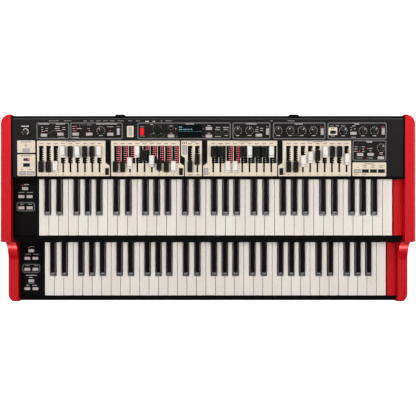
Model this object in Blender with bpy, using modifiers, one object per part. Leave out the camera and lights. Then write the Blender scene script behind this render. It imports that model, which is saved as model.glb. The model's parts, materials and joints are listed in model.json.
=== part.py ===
"""Two-manual combo organ with drawbars, between two lacquered cheeks.

Metres, +Z up. The origin is on the floor, under the middle of the organ's box. The player sits at -Y.
"""

import math

import bmesh
import bpy
from mathutils import Matrix

MM = 0.001
GAP = 0.3 * MM  # between pieces that seat on each other

# Keys
NATURALS = 36
NATURAL_PITCH = 23.5 * MM
NATURAL_GAP = 1.0 * MM
KEY_LENGTH = 200 * MM
KEY_THICKNESS = 14 * MM
KEY_NOSE_RADIUS = 3 * MM
KEY_TAIL = 4 * MM  # behind the edge that the key rocks on
KEY_DIP_DEGREES = 3.0
SHARP_SETBACK = 48.4 * MM
SHARP_WIDTH = 14.5 * MM
SHARP_TOP_WIDTH = 10.5 * MM
SHARP_HEIGHT = 12 * MM
SHARP_SLOPE = 10 * MM
SHARP_CLEARANCE = 0.8 * MM
# Sharps after each natural of an octave, C to B, and how far each stands off the line between its naturals
SHARP_OFFSETS = {0: -2.3 * MM, 1: 2.4 * MM, 3: -3.4 * MM, 4: 0.0, 5: 3.2 * MM}
NATURAL_NAMES = ("c", "d", "e", "f", "g", "a", "b")
UPPER_MOVING_NATURALS = 7  # the lowest octave
LOWER_MOVING_NATURALS = 3  # C, D and E
HINGE_STRIP = 9 * MM

# Levels above the floor
FOOT_HEIGHT = 6 * MM
BOARD_THICKNESS = 8 * MM
LOWER_KEY_LEVEL = 80 * MM
MANUAL_RISE = 72 * MM
SHARP_HEADROOM = 4 * MM
DECK_THICKNESS = 8 * MM
PANEL_RISE = 19.5 * MM  # panel's front edge above the upper naturals
CHEEK_RISE = 98 * MM  # cheek's top above the lower naturals
CHEEK_STEP_RISE = 20 * MM  # cheek's low front part above the lower naturals

# Depths, front to back
CHEEK_TO_LOWER_KEYS = 16.3 * MM
MANUAL_STAGGER = 151.1 * MM
UPPER_KEYS_SHOWN = 133.6 * MM
RAIL_GAP = 0.9 * MM
UPPER_RAIL_DEPTH = 16.5 * MM
LOWER_RAIL_DEPTH = 13.9 * MM
LOWER_RAIL_LEAN = 0.8 * MM
LOWER_RAIL_SHOULDER = 3.8 * MM
LOWER_RAIL_WAIST = 20 * MM
LOWER_RAIL_TOP = 2.1 * MM
RAIL_PROUD = 1 * MM
REAR_WALL = 3 * MM
REAR_INSET = 4.1 * MM  # rear panel inside the cheeks' rear ends
STAND_OFF_REACH = 12.1 * MM
STAND_OFF_WIDTH = 24 * MM
STAND_OFF_SPREAD = 427 * MM
STAND_OFF_SHIFT = -2.5 * MM
STAND_OFF_CORNER = 2.5 * MM
STAND_OFF_LOW = 30 * MM
STAND_OFF_HIGH = 100 * MM

# Cheeks and end blocks
CHEEK_THICKNESS = 24 * MM
CHEEK_CORNER = 22 * MM
CHEEK_EDGE = 4 * MM
CHEEK_LEAN = 3.5 * MM
CHEEK_SWEEP = 45 * MM
CHEEK_SWEEP_POWER = 1.6
CHEEK_NOSE_LEAN = 3 * MM
CHEEK_NOSE_DROP = 19 * MM
LEFT_BLOCK_WIDTH = 58.7 * MM
RIGHT_BLOCK_WIDTH = 22.2 * MM
BLOCK_GAP = 2.7 * MM
BLOCK_PROUD = 1 * MM
FOOT_RADIUS = 12 * MM
FOOT_INSET = 42 * MM

# Control panel
PANEL_SLOPE_DEGREES = 2.1
PANEL_THICKNESS = 3 * MM
PANEL_LIP = 5.5 * MM
PANEL_LIP_DEPTH = 4 * MM
HOLE_CLEARANCE = 0.3 * MM
UNDER_PANEL = 8 * MM  # from the panel down to the frame and the board beneath it
FRAME_FRONT = 8 * MM  # from the panel's front edge
ZONE_GAP = 5 * MM
CONTROL_ZONE = 49 * MM
PANEL_REAR_MARGIN = 7.5 * MM
PLATE_THICKNESS = 2 * MM

# Drawbars
DRAWBAR_PITCH = 17.2 * MM
DRAWBAR_TRAVEL = 35.3 * MM
DRAWBAR_STEPS = 8
CAP_LENGTH = 27.6 * MM
CAP_WIDTH = 12 * MM
CAP_TOP_WIDTH = 9.4 * MM
CAP_HEIGHT = 13 * MM
CAP_LIFT = 0.8 * MM
STEM_SETBACK = 10 * MM
STEM_LENGTH = 12 * MM
STEM_WIDTH = 2.6 * MM
SLIDER_WIDTH = 12.5 * MM
SLIDER_MARGIN = 2 * MM
SLOT_END_CLEARANCE = 0.5 * MM
SLOT_FRONT_CLEARANCE = 4.5 * MM
WIDE_SLOT_LENGTH = 41.4 * MM
WIDE_SLOT_WIDTH = 9.2 * MM
NARROW_SLOT_WIDTH = 3.3 * MM
FRAME_MARGIN = 9 * MM
# Each set: its middle's column, in thousandths of the inner width, and how far each drawbar is out, 0 to 8
MOVING_SET = (-161.2, (8, 8, 6, 0, 2, 5, 7, 8, 8))
FIXED_SETS = (
    (-349.6, (8, 8, 8, 0, 0, 0, 0, 0, 0)),
    (-36.4, (8, 4)),
    (87, (0, 0, 8, 8, 0, 0, 0, 0, 0)),
    (278.2, (8, 8, 5, 3, 2, 0, 0, 0, 4)),
)
WHITE_IN_SET = (2, 3, 5, 8)  # the others are dark

# Controls. Columns are in thousandths of the inner width, from its middle. Rows are in row units, from their
# zone's front. Each group has its material slot, its size and its places
GREY = 1
DARK = 2
ROW_UNIT = 1 * MM
PLATE_LEFT = -488
PLATE_RIGHT = 461.5
KNOB_RADIUS = 6.6 * MM
KNOB_HEIGHT = 11 * MM
VOLUME_RADIUS = 7.5 * MM
DIAL_RADIUS = 12 * MM
DIAL_HEIGHT = 10 * MM
SHAFT_RADIUS = 3 * MM
KNOB_LIFT = 0.6 * MM
BUTTON_RISE = 2.2 * MM
BUTTON_TRAVEL = 1.5 * MM
BUTTON_FLANGE = 1.2 * MM
SOFT = (15.7 * MM, 7.7 * MM)
ROCKER = (7.8 * MM, 16.1 * MM)
OVAL = (12.5 * MM, 6 * MM)
SLIDE_SWITCH = (8.5 * MM, 16 * MM)
TALL_ROCKER = (8.8 * MM, 20.8 * MM)
SHORT_ROCKER = (8.8 * MM, 15 * MM)
CONTROL_KNOBS = ((-271.9, 22), (75.4, 22), (105.5, 22), (178.4, 22), (208.7, 22), (238.6, 22), (268.1, 22))
CONTROL_KNOBS += ((343.3, 21.5), (393.5, 21.5), (422.4, 21.5))
CONTROL_BUTTONS = (
    (GREY, SOFT, ((-416.3, 11), (-374.5, 13.5), (-335.8, 13.5), (-301.5, 13.5), (-247.9, 13.5))),
    (GREY, SOFT, ((-93.8, 9), (2.3, 27), (2.3, 9), (129.1, 11), (369.1, 15.5))),
    (GREY, ROCKER, ((-227.5, 19.5), (151.2, 19.5), (289.7, 19.5), (444.5, 20))),
    (DARK, OVAL, ((-139.8, 10.5), (-118.5, 10.5), (-94.4, 28), (26, 18.3), (46, 18.3), (317.2, 18))),
)
FRAME_KNOBS = ((440.1, 74.5),)
FRAME_BUTTONS = (
    (GREY, SOFT, ((-462, 68.7), (-471.5, 14.6), (-450.6, 14.6), (386.3, 58.7), (413, 59), (439.2, 51))),
    (GREY, SOFT, ((379.9, 19.6),)),
    (DARK, SOFT, ((-461.3, 33.8), (400, 19.6), (420.4, 19.6), (440.7, 19.6))),
    (DARK, SLIDE_SWITCH, ((-256.7, 18.5), (-68.6, 18.5), (186.3, 18.5))),
    (GREY, TALL_ROCKER, ((-59.4, 70),)),
    (GREY, SHORT_ROCKER, ((-4.8, 18.5),)),
)
VOLUME_KNOB = (-463.8, 19.7)
VALUE_DIAL = (-128.8, 25)
ROTARY_ROCKER = (-197.4, 20)
ROTARY_ROCKER_SIZE = (6.4 * MM, 19.4 * MM)
RED_BUTTON = (-167.4, 19.7)
DISPLAY = (-45.7, 20.4)
DISPLAY_SIZE = (57.3 * MM, 31.5 * MM)
# Buttons on the left end blocks, in mm from the block's middle and from its keys' front
BLOCK_BUTTON = (15 * MM, 7.5 * MM)
UPPER_BLOCK_MOVING = (-1, 112)
UPPER_BLOCK_BUTTONS = ((-10, 66), (10, 66), (-10, 93), (10, 93))
LOWER_BLOCK_BUTTONS = ((-11, 17), (9, 17), (-1, 36.5), (-11, 65), (9, 65), (-11, 92), (9, 92), (-1, 111))

# Rear: columns in thousandths of the inner width
JACKS = (-312.2, -296.1, -276.8, -260.7, -242.5, -221, -197.4, -176, -155, -137.3, -117, -99.1)
ROUND_SOCKETS = (-391.4, -357.1)
JACK_RADIUS = 4.6 * MM
JACK_BORE = 3.2 * MM
SOCKET_RADIUS = 9.5 * MM
SOCKET_BORE = 7.5 * MM
BORE_DEPTH = 3 * MM
JACK_REACH = 3 * MM
JACK_BODY = (13 * MM, 22 * MM, 22 * MM)
MAIN_BOARD_SETBACK = 16 * MM  # behind the upper keys' chassis
MAIN_BOARD_LIFT = 4 * MM
POWER_SWITCH = 161.6
POWER_SWITCH_SIZE = (12 * MM, 20 * MM)
POWER_SWITCH_TILT_DEGREES = 6  # it rests with its lower end pressed
POWER_INLET = 210.9
INLET_BODY = (27.4 * MM, 19.4 * MM, 20 * MM)
INLET_FLANGE = (36 * MM, 26 * MM, 2 * MM)
INLET_RECESS = (23 * MM, 15 * MM, 16 * MM)
POWER_SUPPLY_SIZE = (120 * MM, 42 * MM)
POWER_SUPPLY_SETBACK = 11 * MM  # behind the upper keys' chassis
POWER_SUPPLY = 289.7

# Worked out from the sizes above
PIVOT_SETBACK = KEY_LENGTH - KEY_TAIL
KEYS_WIDTH = NATURALS * NATURAL_PITCH
INNER_WIDTH = LEFT_BLOCK_WIDTH + RIGHT_BLOCK_WIDTH + 2 * BLOCK_GAP + KEYS_WIDTH
INNER_X = INNER_WIDTH / 2
KEYS_LEFT = -INNER_X + LEFT_BLOCK_WIDTH + BLOCK_GAP
KEYS_RIGHT = KEYS_LEFT + KEYS_WIDTH
SLOT_LENGTH = SLOT_END_CLEARANCE + STEM_SETBACK + STEM_LENGTH + DRAWBAR_TRAVEL + SLOT_FRONT_CLEARANCE
SLOT_FRONT = FRAME_FRONT + FRAME_MARGIN
SLOT_REAR = SLOT_FRONT + SLOT_LENGTH
FRAME_REAR = SLOT_REAR + FRAME_MARGIN
CONTROL_FRONT = FRAME_REAR + ZONE_GAP
PANEL_DEPTH = CONTROL_FRONT + CONTROL_ZONE + PANEL_REAR_MARGIN
SLOPE = math.radians(PANEL_SLOPE_DEGREES)
PANEL_SETBACK = CHEEK_TO_LOWER_KEYS + MANUAL_STAGGER + UPPER_KEYS_SHOWN
DEPTH = PANEL_SETBACK + PANEL_DEPTH * math.cos(SLOPE) + STAND_OFF_REACH
FRONT_Y = -DEPTH / 2
LOWER_KEYS_Y = FRONT_Y + CHEEK_TO_LOWER_KEYS
UPPER_KEYS_Y = LOWER_KEYS_Y + MANUAL_STAGGER
PANEL_Y = FRONT_Y + PANEL_SETBACK
REAR_Y = FRONT_Y + DEPTH - STAND_OFF_REACH
CHEEK_REAR_Y = REAR_Y + REAR_INSET
UPPER_KEY_LEVEL = LOWER_KEY_LEVEL + MANUAL_RISE
CHEEK_TOP = LOWER_KEY_LEVEL + CHEEK_RISE
CHEEK_STEP = LOWER_KEY_LEVEL + CHEEK_STEP_RISE
BOARD_TOP = FOOT_HEIGHT + BOARD_THICKNESS
DECK_LOW = LOWER_KEY_LEVEL + SHARP_HEIGHT + SHARP_HEADROOM
DECK_TOP = DECK_LOW + DECK_THICKNESS
UPPER_RAIL_Y = UPPER_KEYS_Y - RAIL_GAP - UPPER_RAIL_DEPTH
PANEL_Z = UPPER_KEY_LEVEL + PANEL_RISE
REAR_TOP = PANEL_Z + (PANEL_DEPTH - REAR_WALL) * math.sin(SLOPE)
REAR_TOP -= PANEL_THICKNESS / math.cos(SLOPE) + GAP
JACK_Z = DECK_TOP + MAIN_BOARD_LIFT + PLATE_THICKNESS + JACK_BODY[2] / 2
INNER_REAR_Y = REAR_Y - REAR_WALL - GAP
CHASSIS_REAR_Y = UPPER_KEYS_Y + PIVOT_SETBACK + KEY_TAIL + HINGE_STRIP

BOARD_POSTS = 5
ROUND_SIDES = 10

MATERIALS = {
    "red_lacquer": ("B50A1C", 0.22, 0.0),
    "black_plastic": ("17171A", 0.35, 0.0),
    "panel_black": ("2B292A", 0.45, 0.0),
    "ivory_key": ("E6DED3", 0.30, 0.0),
    "black_key": ("0E0D10", 0.28, 0.0),
    "drawbar_dark": ("1B1412", 0.35, 0.0),
    "drawbar_white": ("ECE7E0", 0.35, 0.0),
    "button_grey": ("CDBEC0", 0.50, 0.0),
    "button_red": ("C01820", 0.45, 0.0),
    "glass_dark": ("0A1216", 0.08, 0.0),
    "board_green": ("1E4A34", 0.55, 0.0),
    "frame_grey": ("4A4B4E", 0.60, 0.0),
    "steel": ("9A9C9E", 0.40, 1.0),
    "pressed_board": ("3A3230", 0.80, 0.0),
    "rubber": ("121212", 0.85, 0.0),
}


def clear_scene():
    for obj in list(bpy.data.objects):
        bpy.data.objects.remove(obj)


def make_collection(name):
    collection = bpy.data.collections.new(name)
    bpy.context.scene.collection.children.link(collection)
    return collection


def linear(channel):
    return channel / 12.92 if channel <= 0.04045 else ((channel + 0.055) / 1.055) ** 2.4


def material(name):
    if name in bpy.data.materials:
        return bpy.data.materials[name]
    colour, roughness, metallic = MATERIALS[name]
    made = bpy.data.materials.new(name)
    made.use_nodes = True
    shader = made.node_tree.nodes["Principled BSDF"]
    channels = [linear(int(colour[i : i + 2], 16) / 255) for i in (0, 2, 4)]
    shader.inputs["Base Color"].default_value = (*channels, 1)
    shader.inputs["Roughness"].default_value = roughness
    shader.inputs["Metallic"].default_value = metallic
    made.diffuse_color = (*channels, 1)
    return made


class Scene:
    """The collections and empties that pieces are put in."""

    parts = None
    cutters = None
    panel = None


def add_object(name, bm, materials, parent=None, location=(0, 0, 0), rotation=(0, 0, 0), cutter=False):
    bmesh.ops.recalc_face_normals(bm, faces=bm.faces)
    mesh = bpy.data.meshes.new(name)
    bm.to_mesh(mesh)
    bm.free()
    mesh.shade_smooth()
    mesh.set_sharp_from_angle(angle=math.radians(38))
    obj = bpy.data.objects.new(name, mesh)
    for each in materials.split():
        mesh.materials.append(material(each))
    obj.location = location
    obj.rotation_euler = rotation
    obj.parent = parent
    (Scene.cutters if cutter else Scene.parts).objects.link(obj)
    if cutter:
        obj.hide_render = True
        obj.display_type = "WIRE"
    return obj


def add_cutter(name, bm, materials="steel", parent=None, location=(0, 0, 0)):
    return add_object(name, bm, materials, parent, location, cutter=True)


def add_empty(name, location, rotation=(0, 0, 0)):
    empty = bpy.data.objects.new(name, None)
    empty.location = location
    empty.rotation_euler = rotation
    empty.empty_display_size = 0.05
    Scene.parts.objects.link(empty)
    return empty


def boolean(target, tool, operation):
    modifier = target.modifiers.new(f"{operation.lower()} {tool.name}", "BOOLEAN")
    modifier.operation = operation
    modifier.object = tool
    modifier.material_mode = "TRANSFER"
    modifier.use_self = True


def box(bm, low, high, slot=0):
    """Adds a box between two corners."""
    size = [b - a for a, b in zip(low, high)]
    middle = [(a + b) / 2 for a, b in zip(low, high)]
    matrix = Matrix.Translation(middle) @ Matrix.Diagonal((*size, 1))
    made = bmesh.ops.create_cube(bm, size=1, matrix=matrix)["verts"]
    paint(made, slot)
    return made


def drum(bm, centre, radius, low, high, sides=ROUND_SIDES, slot=0, top_radius=None):
    """Adds an upright cylinder, or a cone where its top radius is another."""
    matrix = Matrix.Translation((centre[0], centre[1], (low + high) / 2))
    top = radius if top_radius is None else top_radius
    made = bmesh.ops.create_cone(
        bm, cap_ends=True, segments=sides, radius1=radius, radius2=top, depth=high - low, matrix=matrix
    )["verts"]
    paint(made, slot)
    return made


def paint(verts, slot):
    for face in {face for vert in verts for face in vert.link_faces}:
        face.material_index = slot


def prism(bm, outline, low, high, axis="X"):
    """Adds an outline swept between two places: (y, z) along X, (x, z) along Y or (x, y) along Z."""
    place = {
        "X": lambda a, b, t: (t, a, b),
        "Y": lambda a, b, t: (a, t, b),
        "Z": lambda a, b, t: (a, b, t),
    }[axis]
    base = bm.faces.new([bm.verts.new(place(a, b, low)) for a, b in outline])
    swept = bmesh.ops.extrude_face_region(bm, geom=[base])["geom"]
    verts = [each for each in swept if isinstance(each, bmesh.types.BMVert)]
    bmesh.ops.translate(bm, verts=verts, vec=place(0, 0, high - low))
    return list(base.verts) + verts


def loft(bm, rings, slot=0):
    """Adds a closed skin through rings of points, capped at both ends."""
    loops = [[bm.verts.new(point) for point in ring] for ring in rings]
    for low, high in zip(loops, loops[1:]):
        for i in range(len(low)):
            j = (i + 1) % len(low)
            bm.faces.new((low[i], low[j], high[j], high[i]))
    bm.faces.new(loops[0][::-1])
    bm.faces.new(loops[-1])
    paint([vert for loop in loops for vert in loop], slot)


def rectangle(x, y, width, length, z):
    a, b = width / 2, length / 2
    return [(x - a, y - b, z), (x + a, y - b, z), (x + a, y + b, z), (x - a, y + b, z)]


def circle_points(centre, radius, start, end, steps):
    """Points of an arc, in degrees."""
    angles = [math.radians(start + (end - start) * i / steps) for i in range(steps + 1)]
    return [(centre[0] + radius * math.cos(a), centre[1] + radius * math.sin(a)) for a in angles]


def column(x):
    """Where a column stands across the organ: the layout spreads with the inner width."""
    return x / 1000 * INNER_WIDTH


def sharp_edges(bm, wanted, degrees=35):
    found = []
    for edge in bm.edges:
        if len(edge.link_faces) != 2 or edge.calc_face_angle() < math.radians(degrees):
            continue
        if wanted((edge.verts[0].co + edge.verts[1].co) / 2):
            found.append(edge)
    return found


def round_edges(bm, wanted, radius, segments=2):
    edges = sharp_edges(bm, wanted)
    bmesh.ops.bevel(
        bm, geom=edges, offset=radius, segments=segments, affect="EDGES", profile=0.5, clamp_overlap=True
    )


def applied(obj):
    """The object's evaluated mesh, as a bmesh in its own space."""
    bpy.context.view_layer.update()
    graph = bpy.context.evaluated_depsgraph_get()
    bm = bmesh.new()
    bm.from_mesh(bpy.data.meshes.new_from_object(obj.evaluated_get(graph)))
    return bm


def turned(name, profile, steps):
    """A turned solid: its profile of (radius, z) runs down the outer side from the axis back to the axis."""
    mesh = bpy.data.meshes.new(name)
    points = [(r, 0, z) for r, z in profile]
    mesh.from_pydata(points, [(i, i + 1) for i in range(len(points) - 1)], [])
    obj = bpy.data.objects.new(name, mesh)
    Scene.cutters.objects.link(obj)
    screw = obj.modifiers.new("turn", "SCREW")
    screw.steps = steps
    screw.render_steps = steps
    screw.use_merge_vertices = True
    screw.merge_threshold = 0.00005
    bm = applied(obj)
    bpy.data.objects.remove(obj)
    bmesh.ops.remove_doubles(bm, verts=bm.verts, dist=0.00002)
    return bm


def merge(bm, other, location, slot=0):
    """Adds another bmesh at a place."""
    mesh = bpy.data.meshes.new("copy")
    other.to_mesh(mesh)
    before = set(bm.verts)
    bm.from_mesh(mesh)
    bpy.data.meshes.remove(mesh)
    made = [vert for vert in bm.verts if vert not in before]
    bmesh.ops.translate(bm, verts=made, vec=location)
    paint(made, slot)


# Case


def cheek_side_view():
    """(y, z) of a cheek: low front part, sweep, nose, tall rear part."""
    nose_z = UPPER_KEY_LEVEL - CHEEK_NOSE_DROP
    steps = 8
    sweep = []
    for i in range(steps + 1):
        turn = math.pi / 2 * i / steps
        along = math.cos(turn) ** (2 / CHEEK_SWEEP_POWER)
        down = math.sin(turn) ** (2 / CHEEK_SWEEP_POWER)
        y = UPPER_RAIL_Y - CHEEK_SWEEP + CHEEK_SWEEP * along
        sweep.append((y, nose_z - (nose_z - CHEEK_STEP) * down))
    return [
        (FRONT_Y, FOOT_HEIGHT),
        (FRONT_Y + CHEEK_LEAN, CHEEK_STEP),
        *reversed(sweep),
        (UPPER_RAIL_Y + CHEEK_NOSE_LEAN, CHEEK_TOP),
        (CHEEK_REAR_Y, CHEEK_TOP),
        (CHEEK_REAR_Y, FOOT_HEIGHT),
    ]


def cheek_plan(side):
    """(x, y) of a cheek seen from above, with its outer corners rounded."""
    outer = INNER_X + CHEEK_THICKNESS
    radius = min(CHEEK_CORNER, CHEEK_THICKNESS - GAP)
    front = circle_points((outer - radius, FRONT_Y + radius), radius, -90, 0, 6)
    rear = circle_points((outer - radius, CHEEK_REAR_Y - radius), radius, 0, 90, 6)
    outline = [(INNER_X, FRONT_Y), *front, *rear, (INNER_X, CHEEK_REAR_Y)]
    return [(side * x, y) for x, y in outline]


def add_cheek(name, side):
    """The side view swept across, met with the plan swept upward, then its outer edges rounded."""
    swept = bmesh.new()
    prism(swept, cheek_side_view(), side * (INNER_X - GAP), side * (INNER_X + CHEEK_THICKNESS + GAP))
    rough = add_object(f"{name}_rough", swept, "red_lacquer", cutter=True)
    plan = bmesh.new()
    prism(plan, cheek_plan(side), 0, CHEEK_TOP + CHEEK_EDGE, "Z")
    boolean(rough, add_cutter(f"{name}_plan", plan), "INTERSECT")
    bm = applied(rough)
    bpy.data.objects.remove(rough)
    bmesh.ops.remove_doubles(bm, verts=bm.verts, dist=0.00002)

    def outer_edge(middle):
        return abs(middle.x) > INNER_X + GAP and middle.z > FOOT_HEIGHT + GAP

    round_edges(bm, outer_edge, CHEEK_EDGE)
    add_object(name, bm, "red_lacquer")


def add_feet():
    x = INNER_X - FOOT_INSET
    for end, y in (("front", FRONT_Y + FOOT_INSET), ("rear", REAR_Y - FOOT_INSET)):
        for side, sign in (("left", -1), ("right", 1)):
            bm = bmesh.new()
            drum(bm, (sign * x, y), FOOT_RADIUS - MM, 0, FOOT_HEIGHT - GAP, 14, top_radius=FOOT_RADIUS)
            add_object(f"foot_{end}_{side}", bm, "rubber")


def add_bottom_board():
    bm = bmesh.new()
    low = (-INNER_X + GAP, FRONT_Y + 1.5 * MM, FOOT_HEIGHT)
    box(bm, low, (INNER_X - GAP, INNER_REAR_Y, BOARD_TOP))
    add_object("bottom_board", bm, "pressed_board")


def add_rear_panel():
    bm = bmesh.new()
    low = (-INNER_X + GAP, REAR_Y - REAR_WALL, FOOT_HEIGHT)
    box(bm, low, (INNER_X - GAP, REAR_Y, REAR_TOP))
    panel = add_object("rear_panel", bm, "black_plastic")

    holes = bmesh.new()
    for x in JACKS:
        rear_hole(holes, x, JACK_RADIUS)
    for x in ROUND_SOCKETS:
        rear_hole(holes, x, SOCKET_RADIUS)
    for x, (width, height) in ((POWER_SWITCH, POWER_SWITCH_SIZE), (POWER_INLET, INLET_BODY[:2])):
        a = width / 2 + HOLE_CLEARANCE
        b = height / 2 + HOLE_CLEARANCE
        centre = column(x)
        low = (centre - a, REAR_Y - 2 * REAR_WALL, JACK_Z - b)
        box(holes, low, (centre + a, REAR_Y + REAR_WALL, JACK_Z + b))
    boolean(panel, add_cutter("rear_holes", holes), "DIFFERENCE")

    pads = bmesh.new()
    half = STAND_OFF_WIDTH / 2
    corner = STAND_OFF_CORNER
    for sign in (-1, 1):
        x = STAND_OFF_SHIFT + sign * STAND_OFF_SPREAD / 2
        tip = REAR_Y + STAND_OFF_REACH - corner
        right = circle_points((x + half - corner, tip), corner, 0, 90, 3)
        left = circle_points((x - half + corner, tip), corner, 90, 180, 3)
        outline = [(x - half, REAR_Y - GAP), (x + half, REAR_Y - GAP), *right, *left]
        prism(pads, outline, STAND_OFF_LOW, STAND_OFF_HIGH, "Z")
    boolean(panel, add_cutter("stand_off_pads", pads, "black_plastic"), "UNION")


def rear_circle(x, radius, y):
    """Points of a circle in the rear wall, round a jack's axis."""
    points = circle_points((column(x), JACK_Z), radius, 0, 360, ROUND_SIDES)[:-1]
    return [(a, y, b) for a, b in points]


def rear_hole(bm, x, radius):
    """A hole through the rear panel, along Y."""
    places = (REAR_Y - 2 * REAR_WALL, REAR_Y + REAR_WALL)
    loft(bm, [rear_circle(x, radius + HOLE_CLEARANCE, y) for y in places])


def add_upper_deck():
    bm = bmesh.new()
    low = (-INNER_X + GAP, UPPER_KEYS_Y - RAIL_GAP + GAP, DECK_LOW)
    box(bm, low, (INNER_X - GAP, INNER_REAR_Y, DECK_TOP))
    add_object("upper_deck", bm, "pressed_board")


def add_front_rails():
    """Each rail's outline is in (y, z) from its keys' front edge and top."""
    base = BOARD_TOP + GAP - LOWER_KEY_LEVEL
    front = -RAIL_GAP - LOWER_RAIL_DEPTH
    lower = [
        (-RAIL_GAP, RAIL_PROUD),
        (-RAIL_GAP, base),
        (front, base),
        (front + LOWER_RAIL_LEAN, -LOWER_RAIL_WAIST),
        (front + LOWER_RAIL_SHOULDER, -LOWER_RAIL_WAIST / 2),
        (-RAIL_GAP - LOWER_RAIL_TOP, RAIL_PROUD),
    ]
    base = DECK_LOW - UPPER_KEY_LEVEL
    front = -RAIL_GAP - UPPER_RAIL_DEPTH
    upper = [
        (-RAIL_GAP, -1.2 * MM),
        (-RAIL_GAP, base),
        (front, base),
        (front, -CHEEK_NOSE_DROP - 5 * MM),
        (front + 2 * MM, -CHEEK_NOSE_DROP),
        (-RAIL_GAP - 2 * MM, -1.2 * MM),
    ]
    for name, outline, y, z in (
        ("lower_front_rail", lower, LOWER_KEYS_Y, LOWER_KEY_LEVEL),
        ("upper_front_rail", upper, UPPER_KEYS_Y, UPPER_KEY_LEVEL),
    ):
        bm = bmesh.new()
        points = [(y + a, z + b) for a, b in outline]
        prism(bm, points, -INNER_X + GAP, INNER_X - GAP)
        add_object(name, bm, "black_plastic")


# End blocks


def block_button(bm, x, y, top):
    width, length = BLOCK_BUTTON
    ring = rectangle(x, y, width, length, top - MM)
    shoulder = rectangle(x, y, width, length, top + BUTTON_RISE - 0.6 * MM)
    face = rectangle(x, y, width - 1.2 * MM, length - 1.2 * MM, top + BUTTON_RISE)
    loft(bm, [ring, shoulder, face])


def add_block(name, x_low, x_high, y_low, y_high, z_low, z_high, finish):
    bm = bmesh.new()
    box(bm, (x_low, y_low, z_low), (x_high, y_high, z_high))

    def front_top(middle):
        return middle.y < y_low + GAP and middle.z > z_high - GAP

    round_edges(bm, front_top, KEY_NOSE_RADIUS)
    return add_object(name, bm, finish)


def add_end_blocks():
    left = (-INNER_X + GAP, KEYS_LEFT - BLOCK_GAP)
    right = (KEYS_RIGHT + BLOCK_GAP, INNER_X - GAP)
    middle = sum(left) / 2
    lower_top = LOWER_KEY_LEVEL + BLOCK_PROUD
    upper_top = UPPER_KEY_LEVEL + BLOCK_PROUD
    lower = (LOWER_KEYS_Y, UPPER_KEYS_Y, BOARD_TOP + GAP, lower_top)
    upper = (UPPER_KEYS_Y, PANEL_Y + FRAME_FRONT, DECK_TOP + GAP, upper_top)
    add_block("lower_right_block", *right, *lower, "red_lacquer")
    add_block("upper_right_block", *right, *upper, "red_lacquer")
    for name, extent, top, buttons in (
        ("lower_left_block", lower, lower_top, LOWER_BLOCK_BUTTONS),
        ("upper_left_block", upper, upper_top, UPPER_BLOCK_BUTTONS),
    ):
        block = add_block(name, *left, *extent, "black_plastic button_grey")
        caps = bmesh.new()
        for x, y in buttons:
            block_button(caps, middle + x * MM, extent[0] + y * MM, top)
        boolean(block, add_cutter(f"{name}_buttons", caps, "button_grey"), "UNION")

    x = middle + UPPER_BLOCK_MOVING[0] * MM
    y = UPPER_KEYS_Y + UPPER_BLOCK_MOVING[1] * MM
    width, length = BLOCK_BUTTON
    depth = UNDER_PANEL
    pocket = bmesh.new()
    a = width / 2 + HOLE_CLEARANCE
    b = length / 2 + HOLE_CLEARANCE
    box(pocket, (x - a, y - b, upper_top - depth), (x + a, y + b, upper_top + MM))
    boolean(block, add_cutter("block_pocket", pocket), "DIFFERENCE")
    cap = bmesh.new()
    bottom = rectangle(0, 0, width, length, -depth + BUTTON_TRAVEL + GAP)
    shoulder = rectangle(0, 0, width, length, BUTTON_RISE - 0.6 * MM)
    face = rectangle(0, 0, width - 1.2 * MM, length - 1.2 * MM, BUTTON_RISE)
    loft(cap, [bottom, shoulder, face])
    add_object("block_button", cap, "button_grey", location=(x, y, upper_top))


# Manuals: each is built from an empty on the edge that its keys rock on, at the left end of its keys


def sharp_after(index):
    """Where the sharp after a natural is centred, or None."""
    offset = SHARP_OFFSETS.get(index % 7)
    if offset is None or not 0 <= index < NATURALS - 1:
        return None
    return (index + 1) * NATURAL_PITCH + offset


def add_natural(bm, index):
    """A natural: full width at its head, cut back beside its sharps."""
    left = index * NATURAL_PITCH + NATURAL_GAP / 2
    right = (index + 1) * NATURAL_PITCH - NATURAL_GAP / 2
    front = -PIVOT_SETBACK
    head = front + SHARP_SETBACK - SHARP_CLEARANCE
    beside = SHARP_WIDTH / 2 + SHARP_CLEARANCE
    outline = [(left, front), (right, front)]
    following = sharp_after(index)
    if following is None:
        outline.append((right, KEY_TAIL))
    else:
        outline += [(right, head), (following - beside, head), (following - beside, KEY_TAIL)]
    previous = sharp_after(index - 1)
    if previous is None:
        outline.append((left, KEY_TAIL))
    else:
        outline += [(previous + beside, KEY_TAIL), (previous + beside, head), (left, head)]
    prism(bm, outline, 0, KEY_THICKNESS, "Z")


def round_noses(bm):
    def nose(middle):
        return middle.y < -PIVOT_SETBACK + GAP and middle.z > KEY_THICKNESS - GAP

    round_edges(bm, nose, KEY_NOSE_RADIUS)


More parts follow.
